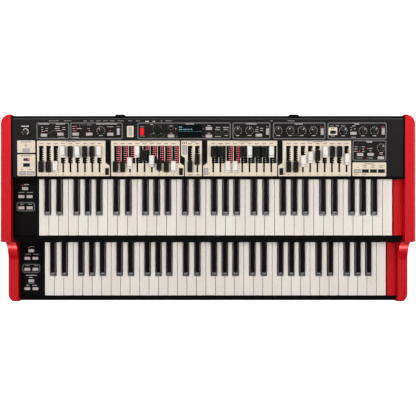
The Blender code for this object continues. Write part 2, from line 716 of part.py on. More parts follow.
def add_sharp(bm, centre, shown, tail):
    """A bar as long as the key, with a tapered hump on the part that shows."""
    front = -PIVOT_SETBACK + SHARP_SETBACK
    half = SHARP_WIDTH / 2
    bar_low = KEY_THICKNESS / 2
    bar = box(bm, (centre - half, front, bar_low), (centre + half, tail, KEY_THICKNESS))
    hump_end = -PIVOT_SETBACK + shown
    faces = list({face for vert in bar for face in vert.link_faces})
    geometry = list(bar) + faces + list({edge for face in faces for edge in face.edges})
    cut = (centre, hump_end, 0)
    bmesh.ops.bisect_plane(bm, geom=geometry, plane_co=cut, plane_no=(0, 1, 0), dist=0.00001)
    tops = [
        face
        for face in bm.faces
        if face.normal.z > 0.9
        and abs(face.calc_center_median().x - centre) < half
        and face.calc_center_median().y < hump_end
    ]
    grown = bmesh.ops.extrude_face_region(bm, geom=tops)["geom"]
    bmesh.ops.delete(bm, geom=tops, context="FACES_ONLY")
    for vert in grown:
        if isinstance(vert, bmesh.types.BMVert):
            vert.co.z += SHARP_HEIGHT
            vert.co.x = centre + math.copysign(SHARP_TOP_WIDTH / 2, vert.co.x - centre)
            if vert.co.y < front + SHARP_SLOPE:
                vert.co.y += SHARP_SLOPE


def add_manual(name, keys_y, level, moving, shown):
    """Moving keys are single pieces. The rest of each kind is moulded on one hinge strip."""
    key_low = level - KEY_THICKNESS
    origin = add_empty(f"{name}_key_axis", (KEYS_LEFT, keys_y + PIVOT_SETBACK, key_low))
    strip_left = moving * NATURAL_PITCH + NATURAL_GAP / 2
    strip_right = KEYS_WIDTH - NATURAL_GAP / 2
    half = KEY_THICKNESS / 2
    strip_rear = KEY_TAIL + HINGE_STRIP

    for index in range(moving):
        letter = NATURAL_NAMES[index]
        bm = bmesh.new()
        add_natural(bm, index)
        round_noses(bm)
        add_object(f"{name}_key_{letter}", bm, "ivory_key", origin)
        centre = sharp_after(index)
        if centre is not None:
            bm = bmesh.new()
            add_sharp(bm, centre, shown, KEY_TAIL)
            sharp = add_object(f"{name}_key_{letter}_sharp", bm, "black_key", origin)
            heel = bmesh.new()
            a = SHARP_WIDTH / 2
            box(heel, (centre - a, -KEY_TAIL, 0), (centre + a, KEY_TAIL, half + MM))
            boolean(sharp, add_cutter(f"{name}_{letter}_heel", heel, "black_key", origin), "UNION")

    naturals = bmesh.new()
    sharps = bmesh.new()
    for index in range(moving, NATURALS):
        add_natural(naturals, index)
        centre = sharp_after(index)
        if centre is not None:
            add_sharp(sharps, centre, shown, KEY_TAIL + GAP + MM)
    round_noses(naturals)
    keys = add_object(f"{name}_natural_keys", naturals, "ivory_key", origin)
    strip = bmesh.new()
    box(strip, (strip_left, KEY_TAIL - MM, 0), (strip_right, strip_rear, half - GAP))
    boolean(keys, add_cutter(f"{name}_natural_strip", strip, "ivory_key", origin), "UNION")
    keys = add_object(f"{name}_sharp_keys", sharps, "black_key", origin)
    strip = bmesh.new()
    box(strip, (strip_left, KEY_TAIL + GAP, half), (strip_right, strip_rear, KEY_THICKNESS))
    boolean(keys, add_cutter(f"{name}_sharp_strip", strip, "black_key", origin), "UNION")


def add_key_chassis(name, keys_y, level, base):
    """A moulded bed whose top falls away in front of the keys' rocking edge, by more than their dip."""
    top = level - KEY_THICKNESS - GAP
    pivot = keys_y + PIVOT_SETBACK
    front = keys_y
    fall = PIVOT_SETBACK * math.tan(math.radians(KEY_DIP_DEGREES * 1.15))
    rear = pivot + KEY_TAIL + HINGE_STRIP
    leg = 10 * MM
    legs = [front + (rear - front - leg) * share for share in (0, 0.5, 1)]
    roof = top - fall - 5 * MM
    outline = [(front, base)]
    outline += [(front, top - fall), (pivot, top), (rear, top), (rear, base)]
    for near, far in ((legs[2], legs[1]), (legs[1], legs[0])):
        outline += [(near, base), (near, roof), (far + leg, roof), (far + leg, base)]
    bm = bmesh.new()
    prism(bm, outline, KEYS_LEFT, KEYS_RIGHT)
    add_object(name, bm, "frame_grey")


# Control panel: what stands on it is built from an empty on its front edge, where z = 0 is its top


def panel_outline():
    """(y, z) of the top plate, with its rounded front lip."""
    radius = 1.5 * MM
    nose = circle_points((radius, -radius), radius, 180, 90, 3)
    return [
        (0, -PANEL_LIP),
        *nose,
        (PANEL_DEPTH, 0),
        (PANEL_DEPTH, -PANEL_THICKNESS),
        (PANEL_LIP_DEPTH, -PANEL_THICKNESS),
        (PANEL_LIP_DEPTH, -PANEL_LIP),
    ]


def slot_outline(x):
    """(x, y) of a drawbar's slot: wide behind, narrow in front."""
    wide = WIDE_SLOT_WIDTH / 2
    narrow = NARROW_SLOT_WIDTH / 2
    step = SLOT_REAR - WIDE_SLOT_LENGTH
    half = [(x + narrow, SLOT_FRONT), (x + narrow, step), (x + wide, step), (x + wide, SLOT_REAR)]
    return half + [(2 * x - a, b) for a, b in reversed(half)]


def drawbars(sets):
    """Each drawbar of the sets: its column, how far out it is, and whether its cap is white."""
    for middle, settings in sets:
        for index, setting in enumerate(settings):
            white = len(settings) > len(WHITE_IN_SET) and index in WHITE_IN_SET
            place = index - (len(settings) - 1) / 2
            yield column(middle) + place * DRAWBAR_PITCH, setting, white


def buttons(groups, zone):
    """Each button's place, size and material slot."""
    for slot, (width, length), places in groups:
        for x, y in places:
            yield column(x), zone + y * ROW_UNIT, width, length, slot


def add_control_panel():
    bm = bmesh.new()
    prism(bm, panel_outline(), -INNER_X + GAP, INNER_X - GAP)
    panel = add_object("control_panel", bm, "panel_black", Scene.panel)

    openings = bmesh.new()
    low, high = -2 * PANEL_THICKNESS, PANEL_THICKNESS
    for x, _, _ in drawbars((MOVING_SET, *FIXED_SETS)):
        prism(openings, slot_outline(x), low, high, "Z")
    single = (
        (GREY, ROCKER, (RED_BUTTON,)),
        (GREY, ROTARY_ROCKER_SIZE, (ROTARY_ROCKER,)),
        (DARK, DISPLAY_SIZE, (DISPLAY,)),
    )
    for x, y, width, length, _ in (
        *buttons(CONTROL_BUTTONS + single, CONTROL_FRONT),
        *buttons(FRAME_BUTTONS, 0),
    ):
        a = width / 2 + HOLE_CLEARANCE
        b = length / 2 + HOLE_CLEARANCE
        box(openings, (x - a, y - b, low), (x + a, y + b, high))
    for knobs, zone in (((*CONTROL_KNOBS, VOLUME_KNOB, VALUE_DIAL), CONTROL_FRONT), (FRAME_KNOBS, 0)):
        for x, y in knobs:
            drum(openings, (column(x), zone + y * ROW_UNIT), SHAFT_RADIUS + HOLE_CLEARANCE, low, high, 8)
    boolean(panel, add_cutter("panel_openings", openings, parent=Scene.panel), "DIFFERENCE")


def knob_profile(radius, height, shaft_end):
    return [
        (0, height),
        (radius * 0.86, height),
        (radius, KNOB_LIFT),
        (SHAFT_RADIUS, KNOB_LIFT),
        (SHAFT_RADIUS, shaft_end),
        (0, shaft_end),
    ]


def fixed_controls(bm, knobs, groups, zone, sink):
    """Knobs and buttons that stand on one board, each reaching down to sink."""
    knob = turned("knob", knob_profile(KNOB_RADIUS, KNOB_HEIGHT, sink), ROUND_SIDES)
    for x, y in knobs:
        merge(bm, knob, (column(x), zone + y * ROW_UNIT, 0), DARK)
    knob.free()
    for x, y, width, length, slot in buttons(groups, zone):
        rings = [
            rectangle(x, y, width, length, sink),
            rectangle(x, y, width, length, BUTTON_RISE - 0.6 * MM),
            rectangle(x, y, width - 1.2 * MM, length - 1.2 * MM, BUTTON_RISE),
        ]
        loft(bm, rings, slot)


def cap_rings(x, rear):
    """A cap's rings from its underside to its top, swollen a little low down."""
    middle = rear - CAP_LENGTH / 2
    return [
        rectangle(x, middle, CAP_WIDTH - MM, CAP_LENGTH - MM, CAP_LIFT),
        rectangle(x, middle, CAP_WIDTH, CAP_LENGTH, CAP_LIFT + 0.3 * CAP_HEIGHT),
        rectangle(x, middle, CAP_TOP_WIDTH, CAP_LENGTH - 3 * MM, CAP_LIFT + CAP_HEIGHT),
    ]


def add_drawbar(bm, x, rear, foot, slot=0):
    """One drawbar whose cap's rear end is at rear. A fixed one has a plain stem, down to its frame."""
    stem = rear - STEM_SETBACK - STEM_LENGTH / 2
    under = -PANEL_THICKNESS - GAP
    rings = []
    if foot:
        low = -PANEL_THICKNESS - UNDER_PANEL + GAP
        size = (SLIDER_WIDTH, STEM_LENGTH + 2 * SLIDER_MARGIN)
        rings += [rectangle(x, stem, *size, low), rectangle(x, stem, *size, under)]
        rings.append(rectangle(x, stem, STEM_WIDTH, STEM_LENGTH, under))
    else:
        rings.append(rectangle(x, stem, STEM_WIDTH, STEM_LENGTH, -PANEL_THICKNESS - UNDER_PANEL - MM))
    rings.append(rectangle(x, stem, STEM_WIDTH, STEM_LENGTH, CAP_LIFT))
    loft(bm, rings + cap_rings(x, rear), slot)


def cap_rear(setting):
    return SLOT_REAR - SLOT_END_CLEARANCE - setting * DRAWBAR_TRAVEL / DRAWBAR_STEPS


def add_drawbars():
    for number, (x, setting, white) in enumerate(drawbars((MOVING_SET,)), 1):
        bm = bmesh.new()
        add_drawbar(bm, 0, 0, True)
        finish = "drawbar_white" if white else "drawbar_dark"
        add_object(f"drawbar_{number}", bm, finish, Scene.panel, (x, cap_rear(setting), 0))


def add_plate(name, y_low, y_high, x_low, x_high, controls, materials, ribs):
    """A flat plate under the panel that carries controls, with ribs or posts up to the panel."""
    top = -PANEL_THICKNESS - UNDER_PANEL
    bm = bmesh.new()
    box(bm, (x_low, y_low, top - PLATE_THICKNESS), (x_high, y_high, top))
    plate = add_object(name, bm, materials, Scene.panel)
    supports = bmesh.new()
    for low, high in ribs:
        box(supports, (*low, top - MM), (*high, -PANEL_THICKNESS - GAP))
    boolean(plate, add_cutter(f"{name}_supports", supports, materials, Scene.panel), "UNION")
    boolean(plate, add_cutter(f"{name}_controls", controls, materials, Scene.panel), "UNION")


def add_drawbar_frame():
    sink = -PANEL_THICKNESS - UNDER_PANEL - MM
    bm = bmesh.new()
    fixed_controls(bm, FRAME_KNOBS, FRAME_BUTTONS, 0, sink)
    for x, setting, white in drawbars(FIXED_SETS):
        add_drawbar(bm, x, cap_rear(setting), False, 3 if white else 2)
    left, right = column(PLATE_LEFT), column(PLATE_RIGHT)
    rib = 2 * MM
    ribs = [
        ((left, FRAME_FRONT), (right, FRAME_FRONT + rib)),
        ((left, FRAME_REAR - rib), (right, FRAME_REAR)),
    ]
    finish = "frame_grey button_grey drawbar_dark drawbar_white"
    add_plate("drawbar_frame", FRAME_FRONT, FRAME_REAR, left, right, bm, finish, ribs)


def add_control_board():
    bm = bmesh.new()
    fixed_controls(bm, CONTROL_KNOBS, CONTROL_BUTTONS, CONTROL_FRONT, -PANEL_THICKNESS - UNDER_PANEL - MM)
    rear = CONTROL_FRONT + CONTROL_ZONE
    left, right = column(PLATE_LEFT), column(PLATE_RIGHT)
    post = 4 * MM
    posts = []
    for i in range(BOARD_POSTS):
        x = left + (right - left - post) * i / (BOARD_POSTS - 1)
        posts.append(((x, rear - post), (x + post, rear)))
        posts.append(((x, CONTROL_FRONT), (x + post, CONTROL_FRONT + post)))
    finish = "board_green button_grey drawbar_dark"
    add_plate("control_board", CONTROL_FRONT, rear, left, right, bm, finish, posts)


def rocker_mesh(width, length, proud, depth):
    """A rocker about X: its ends are arcs round its axis, and its face is two flats that meet low."""
    radius = length / 2
    top = math.degrees(math.asin(proud / radius))
    low = math.degrees(math.asin(depth / radius))
    rear = circle_points((0, 0), radius, -low, top, 3)
    front = circle_points((0, 0), radius, 180 - top, 180 + low, 3)
    bm = bmesh.new()
    prism(bm, [*rear, (0, proud * 0.45), *front], -width / 2, width / 2)
    return bm


def add_panel_controls():
    """The controls that move: knob, dial, rocker and push button."""
    reach = -PANEL_THICKNESS - UNDER_PANEL + GAP
    for name, (x, y), radius, height in (
        ("volume_knob", VOLUME_KNOB, VOLUME_RADIUS, KNOB_HEIGHT),
        ("value_dial", VALUE_DIAL, DIAL_RADIUS, DIAL_HEIGHT),
    ):
        bm = turned(name, knob_profile(radius, height, reach), 20)
        place = (column(x), CONTROL_FRONT + y * ROW_UNIT, 0)
        add_object(name, bm, "drawbar_dark", Scene.panel, place)

    width, length = ROTARY_ROCKER_SIZE
    bm = rocker_mesh(width, length, 2.4 * MM, 5 * MM)
    place = (column(ROTARY_ROCKER[0]), CONTROL_FRONT + ROTARY_ROCKER[1] * ROW_UNIT, 0)
    add_object("rotary_rocker", bm, "button_grey", Scene.panel, place)

    width, length = ROCKER
    under = -PANEL_THICKNESS - GAP
    bm = bmesh.new()
    flange = (width + 2.4 * MM, length + 2.4 * MM)
    rings = [
        rectangle(0, 0, *flange, under - BUTTON_FLANGE),
        rectangle(0, 0, *flange, under),
        rectangle(0, 0, width, length, under),
        rectangle(0, 0, width, length, BUTTON_RISE - 0.6 * MM),
        rectangle(0, 0, width - 1.2 * MM, length - 1.2 * MM, BUTTON_RISE),
    ]
    loft(bm, rings)
    place = (column(RED_BUTTON[0]), CONTROL_FRONT + RED_BUTTON[1] * ROW_UNIT, 0)
    add_object("red_button", bm, "button_red", Scene.panel, place)


def add_display():
    """The display unit: a glass-fronted block that stands on the control board."""
    width, length = DISPLAY_SIZE
    x, y = column(DISPLAY[0]), CONTROL_FRONT + DISPLAY[1] * ROW_UNIT
    bm = bmesh.new()
    low = (x - width / 2, y - length / 2, -PANEL_THICKNESS - UNDER_PANEL + GAP)
    box(bm, low, (x + width / 2, y + length / 2, -0.2 * MM))
    add_object("display_window", bm, "glass_dark", Scene.panel)


# Inside and rear


def add_main_board():
    """Board on the deck, with the jacks whose barrels reach out through the rear panel."""
    left = column(ROUND_SOCKETS[0]) - 2 * SOCKET_RADIUS
    right = column(JACKS[-1]) + 2 * SOCKET_RADIUS
    low = DECK_TOP + GAP + MAIN_BOARD_LIFT
    front = CHASSIS_REAR_Y + MAIN_BOARD_SETBACK
    bm = bmesh.new()
    box(bm, (left, front, low), (right, INNER_REAR_Y, low + PLATE_THICKNESS))
    board = add_object("main_board", bm, "board_green black_plastic")

    posts = bmesh.new()
    post = 6 * MM
    for x in (left, (left + right - post) / 2, right - post):
        for y in (front, INNER_REAR_Y - post):
            box(posts, (x, y, DECK_TOP + GAP), (x + post, y + post, low + MM))
    boolean(board, add_cutter("main_board_posts", posts, "board_green"), "UNION")

    width, length, height = JACK_BODY
    bodies = bmesh.new()
    barrels = bmesh.new()
    for places, radius, bore in (
        (JACKS, JACK_RADIUS, JACK_BORE),
        (ROUND_SOCKETS, SOCKET_RADIUS, SOCKET_BORE),
    ):
        for x in places:
            half = width / 2
            centre = column(x)
            corner = (centre - half, INNER_REAR_Y - length, low + MM)
            box(bodies, corner, (centre + half, INNER_REAR_Y, JACK_Z + half))
            add_barrel(barrels, x, radius, bore)
    boolean(board, add_cutter("jack_bodies", bodies, "black_plastic"), "UNION")
    boolean(board, add_cutter("jack_barrels", barrels, "black_plastic"), "UNION")


def add_barrel(bm, x, radius, bore):
    """A jack's barrel along Y, with the mouth of its bore."""
    start = INNER_REAR_Y - 2 * MM
    end = REAR_Y + JACK_REACH
    steps = ((start, radius), (end, radius), (end, bore), (end - BORE_DEPTH, bore))
    loft(bm, [rear_circle(x, r, y) for y, r in steps])


def add_power_parts():
    x = column(POWER_INLET)
    rings = []
    body_width, body_height, body_depth = INLET_BODY
    flange_width, flange_height, flange = INLET_FLANGE
    width, height, depth = INLET_RECESS
    seat = REAR_Y + GAP
    for y, (a, b) in (
        (REAR_Y - body_depth, (body_width, body_height)),
        (seat, (body_width, body_height)),
        (seat, (flange_width, flange_height)),
        (seat + flange, (flange_width, flange_height)),
        (seat + flange, (width, height)),
        (seat + flange - depth, (width, height)),
    ):
        rings.append([(x + p, y, JACK_Z + q) for p, q, _ in rectangle(0, 0, a, b, 0)])
    bm = bmesh.new()
    loft(bm, rings)
    add_object("power_inlet", bm, "black_plastic")

    width, length = POWER_SWITCH_SIZE
    bm = rocker_mesh(width, length, 3 * MM, 6 * MM)
    turn = (-math.pi / 2 - math.radians(POWER_SWITCH_TILT_DEGREES), 0, 0)
    place = (column(POWER_SWITCH), REAR_Y, JACK_Z)
    add_object("power_switch", bm, "black_plastic", location=place, rotation=turn)

    width, height = POWER_SUPPLY_SIZE
    x = column(POWER_SUPPLY)
    bm = bmesh.new()
    low = (x, CHASSIS_REAR_Y + POWER_SUPPLY_SETBACK, DECK_TOP + GAP)
    box(bm, low, (x + width, INNER_REAR_Y - INLET_BODY[2], DECK_TOP + GAP + height))
    round_edges(bm, lambda middle: middle.z > low[2] + height - GAP, 2 * MM, 1)
    add_object("power_supply", bm, "steel")


def main():
    clear_scene()
    Scene.parts = make_collection("combo_organ")
    Scene.cutters = make_collection("cutters")
    Scene.panel = add_empty("panel_front_edge", (0, PANEL_Y, PANEL_Z), (SLOPE, 0, 0))
    add_cheek("left_cheek", -1)
    add_cheek("right_cheek", 1)
    add_feet()
    add_bottom_board()
    add_rear_panel()
    add_upper_deck()
    add_front_rails()
    add_end_blocks()
    lower_shown = MANUAL_STAGGER - UPPER_RAIL_DEPTH + FRAME_FRONT
    upper_shown = UPPER_KEYS_SHOWN + PANEL_LIP_DEPTH
    add_manual("lower", LOWER_KEYS_Y, LOWER_KEY_LEVEL, LOWER_MOVING_NATURALS, lower_shown)
    add_manual("upper", UPPER_KEYS_Y, UPPER_KEY_LEVEL, UPPER_MOVING_NATURALS, upper_shown)
    add_key_chassis("lower_key_chassis", LOWER_KEYS_Y, LOWER_KEY_LEVEL, BOARD_TOP + GAP)
    add_key_chassis("upper_key_chassis", UPPER_KEYS_Y, UPPER_KEY_LEVEL, DECK_TOP + GAP)
    add_control_panel()
    add_drawbar_frame()
    add_drawbars()
    add_control_board()
    add_panel_controls()
    add_display()
    add_main_board()
    add_power_parts()


main()
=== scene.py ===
"""Looks of a two-manual combo organ: lacquered cheeks, two manuals, drawbars and a dressed control panel.

Shapes are worked out in millimetres and turned to metres as each piece is made. The panel's pieces are placed
from its front edge, with z = 0 on its top.
"""

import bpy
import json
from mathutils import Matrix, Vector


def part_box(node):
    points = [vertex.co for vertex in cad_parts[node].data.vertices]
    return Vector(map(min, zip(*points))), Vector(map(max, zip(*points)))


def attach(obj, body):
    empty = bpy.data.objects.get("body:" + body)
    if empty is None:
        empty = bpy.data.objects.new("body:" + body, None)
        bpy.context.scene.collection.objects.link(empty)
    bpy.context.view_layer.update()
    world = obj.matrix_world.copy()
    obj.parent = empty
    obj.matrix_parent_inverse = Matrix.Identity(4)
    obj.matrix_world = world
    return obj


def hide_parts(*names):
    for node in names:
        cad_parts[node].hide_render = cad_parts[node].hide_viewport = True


bl_info = {
    "name": "Combo organ",
    "version": (1, 0, 0),
    "blender": (4, 5, 0),
    "location": "3D View > Sidebar > Combo Organ",
    "description": "Builds the pieces of a two-manual combo organ around its packed solids",
    "category": "Object",
}

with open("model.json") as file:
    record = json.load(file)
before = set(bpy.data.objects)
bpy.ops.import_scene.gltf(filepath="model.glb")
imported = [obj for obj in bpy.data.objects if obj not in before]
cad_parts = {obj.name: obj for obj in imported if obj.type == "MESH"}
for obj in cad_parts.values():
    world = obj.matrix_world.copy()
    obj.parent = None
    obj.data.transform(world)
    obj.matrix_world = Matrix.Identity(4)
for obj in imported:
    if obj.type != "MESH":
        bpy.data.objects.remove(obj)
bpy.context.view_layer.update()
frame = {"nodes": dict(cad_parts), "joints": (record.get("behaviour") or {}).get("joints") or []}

import json
import math

import bmesh
import bpy
from mathutils import Matrix, Vector
from mathutils.geometry import tessellate_polygon

# A millimetre in metres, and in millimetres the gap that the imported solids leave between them
MM = 0.001
GAP = 0.3


def cad_box(node):
    """A node's lowest and highest corners, in millimetres."""
    return [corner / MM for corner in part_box(node)]


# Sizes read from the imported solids
INNER_X = cad_box("bottom_board")[1].x + GAP
CHEEK_OUTER = cad_box("right_cheek")[1].x
CHEEK_TOP = cad_box("right_cheek")[1].z
FRONT_Y = cad_box("right_cheek")[0].y
CHEEK_REAR_Y = cad_box("right_cheek")[1].y
INLET_LIP = 2.3
REAR_Y = cad_box("power_inlet")[1].y - INLET_LIP
JACK_Z = sum(corner.z for corner in cad_box("power_inlet")) / 2
NATURAL_PITCH = cad_box("upper_key_d")[0].x - cad_box("upper_key_c")[0].x
NATURAL_GAP = 1.0
KEYS_LEFT = cad_box("upper_key_c")[0].x - NATURAL_GAP / 2
LEVELS = {name: cad_box(f"{name}_natural_keys")[1].z for name in ("lower", "upper")}
KEY_FRONTS = {name: cad_box(f"{name}_natural_keys")[0].y for name in ("lower", "upper")}
PANEL_AXIS = next(joint for joint in frame["joints"] if joint["name"] == "volume_knob_turn")["axis"]
SLOPE = math.atan2(-PANEL_AXIS[1], PANEL_AXIS[2])
PANEL_LIP = 5.5
PANEL_NOSE = 1.5
PANEL_Y = cad_box("control_panel")[0].y - PANEL_NOSE * math.sin(SLOPE)
PANEL_Z = cad_box("control_panel")[0].z + PANEL_LIP * math.cos(SLOPE)
PANEL = Matrix.Translation((0, PANEL_Y, PANEL_Z)) @ Matrix.Rotation(SLOPE, 4, "X")

# Case
CASE_BOTTOM = 6
CHEEK_STEP_RISE = 20
CHEEK_NOSE_DROP = 19
SWEEP_LENGTH = 45
SWEEP_POWER = 2 / 1.6
SWEEP_STEPS = 28
RAIL_DEPTHS = {"lower": 14.8, "upper": 17.4}
LOWER_RAIL_BASE = 14.3
BOARD_EDGE = 0.6
BLOCK_RISE = 1

# Keys
NATURALS = 36
KEY_LENGTH = 200
KEY_THICKNESS = 14
KEY_NOSE = 3
SHARP_SETBACK = 48.4
SHARP_WIDTH = 14.5
SHARP_TOP_WIDTH = 10.5
SHARP_HEIGHT = 12
SHARP_CLEARANCE = 0.8
SHARP_OFFSETS = {0: -2.3, 1: 2.4, 3: -3.4, 4: 0.0, 5: 3.2}
SHARP_HUMP = ((0.1, 2.2), (2.6, 4.6), (5.4, 7.9), (7.9, 10.3), (9.6, 11.35), (11.6, 11.85), (14.5, 12))
SHOWN = {"lower": 142.6, "upper": 137.6}
MOVING = {"lower": 3, "upper": 7}
NATURAL_NAMES = ("c", "d", "e", "f", "g", "a", "b")
KEY_SLOTS = {"natural": "ivory_key", "sharp": "black_key"}

# Panel zones, from its front edge
FRAME_FRONT = 8
FRAME_REAR = 88.3
CONTROL_FRONT = 93.3
CONTROL_ZONE = 49


def column(x):
    """Millimetres from the panel's middle, for thousandths of the inner width."""
    return x / 1000 * 2 * INNER_X


def control(x, y):
    """A place on the panel in mm, for a column and a row of the control zone."""
    return column(x), CONTROL_FRONT + y


# Boards under the panel
PANEL_UNDERSIDE = -3 - GAP
BOARD_TOP = -11
ABOVE_BOARD = BOARD_TOP + GAP
BOARD_HEIGHTS = (BOARD_TOP - 2, BOARD_TOP)
POST_HEIGHTS = (BOARD_TOP, PANEL_UNDERSIDE)
POST = 4
BOARD_LEFT = column(-488)
BOARD_RIGHT = column(461.5)

# Where sheets and prints on the panel start and end above it
PLATE_TOP = 0.35
SET_PLATE = (0.13, PLATE_TOP)
SMALL_PLATE = (0.02, PLATE_TOP)
WELL_SHEET = (0.01, 0.12)
LINE_INK = (0.02, 0.12)
MARK_INK = (0.01, 0.1)
WORD_INK = (0.01, 0.09)
DISPLAY_CELL = (-0.2, -0.12)

# Drawbar sets: each set's column, and how far each of its bars is pulled out, in steps
SETS = {
    "second_set": (-161.2, (8, 8, 6, 0, 2, 5, 7, 8, 8)),
    "first_set": (-349.6, (8, 8, 8, 0, 0, 0, 0, 0, 0)),
    "bass_set": (-36.4, (8, 4)),
    "third_set": (87, (0, 0, 8, 8, 0, 0, 0, 0, 0)),
    "last_set": (278.2, (8, 8, 5, 3, 2, 0, 0, 0, 4)),
}
LADDER_SETS = ("second_set", "third_set")
WHITE_IN_SET = (2, 3, 5, 8)
DRAWBAR_PITCH = 17.2
DRAWBAR_STEPS = 8
DRAWBAR_STEP = 35.3 / DRAWBAR_STEPS
CAP_LIFT = 0.8
SLOT_FRONT = 17
SLOT_REAR = 79.3
WIDE_SLOT_LENGTH = 41.4
SLOT_END_CLEARANCE = 0.5
STEM_SETBACK = 10
STEM_LENGTH = 12
STEM_WIDTH = 2.6
SLIDER_WIDTH = 12.5
SCALE_TEETH = 7
LADDER_PITCH = 4.95
# Levels of a cap: its width, rear end, front end, corner and height
WHITE_CAP = (
    (11.9, -0.5, -27.1, 0.9, 0),
    (12.9, -0.1, -27.5, 1.1, 1.2),
    (13.0, 0, -27.6, 1.2, 3.9),
    (12.4, -0.2, -27.4, 1.2, 7),
    (11.6, -0.5, -25.6, 1.2, 10),
    (10.8, -0.9, -23.4, 1.2, 12),
    (10.3, -1.3, -22.4, 1.1, 12.7),
    (9.3, -1.9, -21.6, 0.9, 13),
)
DARK_CAP = (
    (11.9, -0.5, -27.1, 2.4, 0),
    (12.9, -0.1, -27.5, 2.7, 1.2),
    (13.0, 0, -27.6, 2.8, 3.9),
    (12.6, -0.1, -27.4, 2.8, 7),
    (11.9, -0.4, -26.6, 2.8, 10),
    (11.0, -0.9, -25.6, 2.6, 12),
    (10.4, -1.4, -24.9, 2.4, 12.7),
    (9.5, -2, -24.1, 2.1, 13),
)

# Plates on the panel, in mm: the outlines of the sets' plates, and the sides of the others
SET_PLATES = {
    "first_set": ((-404.8, 91.3), (-404.8, 7.6), (-233.1, 7.6), (-233.1, 32.5), (-243, 39), (-243, 91.3)),
    "second_set": ((-229.5, 91.3), (-229.5, 7.6), (-57.3, 7.6), (-57.3, 32.5), (-66.8, 39), (-66.8, 91.3)),
    "bass_set": ((-63.5, 91.3), (-63.5, 56.5), (-54.5, 51), (-54.5, 7.6), (-14.5, 7.6), (-14.5, 91.3)),
    "third_set": ((-1.4, 91.3), (-1.4, 39), (-11.1, 32.5), (-11.1, 7.6), (163.7, 7.6), (163.7, 91.3)),
    "last_set": ((176.9, 91.3), (176.9, 39), (166.7, 32.5), (166.7, 7.6), (338.7, 7.6), (338.7, 91.3)),
}
SMALL_PLATES = (
    (-451.7, -409.3, 63, 91.9),
    (-451.7, -409.3, 8, 59.2),
    (342.5, 422.3, 7.6, 40),
    (-191.8, -176.2, 99.9, 126.2),
    (285.1, 305.7, 104.8, 123),
)
SECTIONS = (
    (-406, -328, 95, 134.5),
    (-325.9, -201.8, 95, 134.5),
    (-167.2, 53.8, 95, 134.5),
    (57.6, 147.6, 95, 134.5),
    (153.7, 278.1, 95, 134.5),
    (282.8, 422.8, 95, 134.5),
    (342.3, 422.5, 43.8, 92.8),
)
SECTION_LINES = (
    ((-381.5, 109.1), (-372.3, 109.8), (-369, 114.6), (-363.1, 115.4)),
    ((-304.2, 123.5), (-304.2, 128.8), (-289.2, 128.8)),
    ((197.8, 103.7), (217.9, 103.7)),
    ((-378, 131.6), (-361, 131.6)),
    ((360, 69.4), (360, 78.9)),
)


def placed(zone, groups):
    """Each control's slot, size and place on the panel in mm, for the columns and rows of its group."""
    return [(slot, size, (column(x), zone + y)) for slot, size, places in groups for x, y in places]


# Controls: their sizes in mm, their columns in thousandths of the inner width and their rows in mm
BUTTON_RISE = 2.2
CONTROL_GAP = 0.4
SOFT = (15.7, 7.7)
ROCKER = (7.8, 16.1)
OVAL = (12.5, 6)
SLIDE_SWITCH = (8.5, 16)
TALL_ROCKER = (8.8, 20.8)
SHORT_ROCKER = (8.8, 15)
OVALS = ((-139.8, 10.5), (-118.5, 10.5), (-94.4, 28), (26, 18.3), (46, 18.3), (317.2, 18))
RAISED_OVAL = control(*OVALS[-1])
RAISED_OVAL_SIZE = (14.2, 8.2)
CONTROL_BUTTONS = placed(CONTROL_FRONT, (
    ("button_grey", SOFT, ((-416.3, 11), (-374.5, 13.5), (-335.8, 13.5), (-301.5, 13.5), (-247.9, 13.5))),
    ("button_grey", SOFT, ((-93.8, 9), (2.3, 27), (2.3, 9), (129.1, 11), (369.1, 15.5))),
    ("button_grey", ROCKER, ((-227.5, 19.5), (151.2, 19.5), (289.7, 19.5), (444.5, 20))),
    ("drawbar_dark", OVAL, OVALS),
))
FRAME_BUTTONS = placed(0, (
    ("button_grey", SOFT, ((-462, 68.7), (-471.5, 14.6), (-450.6, 14.6), (386.3, 58.7), (413, 59))),
    ("button_grey", SOFT, ((439.2, 51), (379.9, 19.6))),
    ("drawbar_dark", SOFT, ((-461.3, 33.8), (400, 19.6), (420.4, 19.6), (440.7, 19.6))),
    ("drawbar_dark", SLIDE_SWITCH, ((-256.7, 18.5), (-68.6, 18.5), (186.3, 18.5))),
    ("button_grey", TALL_ROCKER, ((-59.4, 70),)),
    ("button_grey", SHORT_ROCKER, ((-4.8, 18.5),)),
))
# Knobs: their places, and the directions of their pointers in degrees
KNOBS = [(*control(x, y), pointer) for x, y, pointer in (
    (-271.9, 22, 125),
    (75.4, 22, 90),
    (105.5, 22, 90),
    (178.4, 22, 95),
    (208.7, 22, 115),
    (238.6, 22, 50),
    (268.1, 22, 155),
    (343.3, 21.5, 45),
    (393.5, 21.5, 60),
    (422.4, 21.5, 60),
)]
FRAME_KNOB = (column(440.1), 74.5, 55)
# The radius and height of each kind of knob
KNOB_SIZE = (6.6, 11)
VOLUME_KNOB_SIZE = (5.8, 11)
VALUE_DIAL_SIZE = (12, 10)
VOLUME_KNOB = control(-463.8, 19.7)
VALUE_DIAL = control(-128.8, 25)
ROTARY_ROCKER = control(-197.4, 20)
ROTARY_ROCKER_SIZE = (6.4, 19.4)
MAINS_ROCKER_SIZE = (12, 20)
RED_BUTTON = control(-167.4, 19.7)
DISPLAY = control(-45.7, 20.4)
DISPLAY_SIZE = (57.3, 31.5)
BLOCK_BUTTON = (15, 7.5)
BLOCK_BUTTONS = {
    "lower": ((-11, 17), (9, 17), (-1, 36.5), (-11, 65), (9, 65), (-11, 92), (9, 92), (-1, 111)),
    "upper": ((-10, 66), (10, 66), (-10, 93), (10, 93)),
}
JACKS = (-312.2, -296.1, -276.8, -260.7, -242.5, -221, -197.4, -176, -155, -137.3, -117, -99.1)
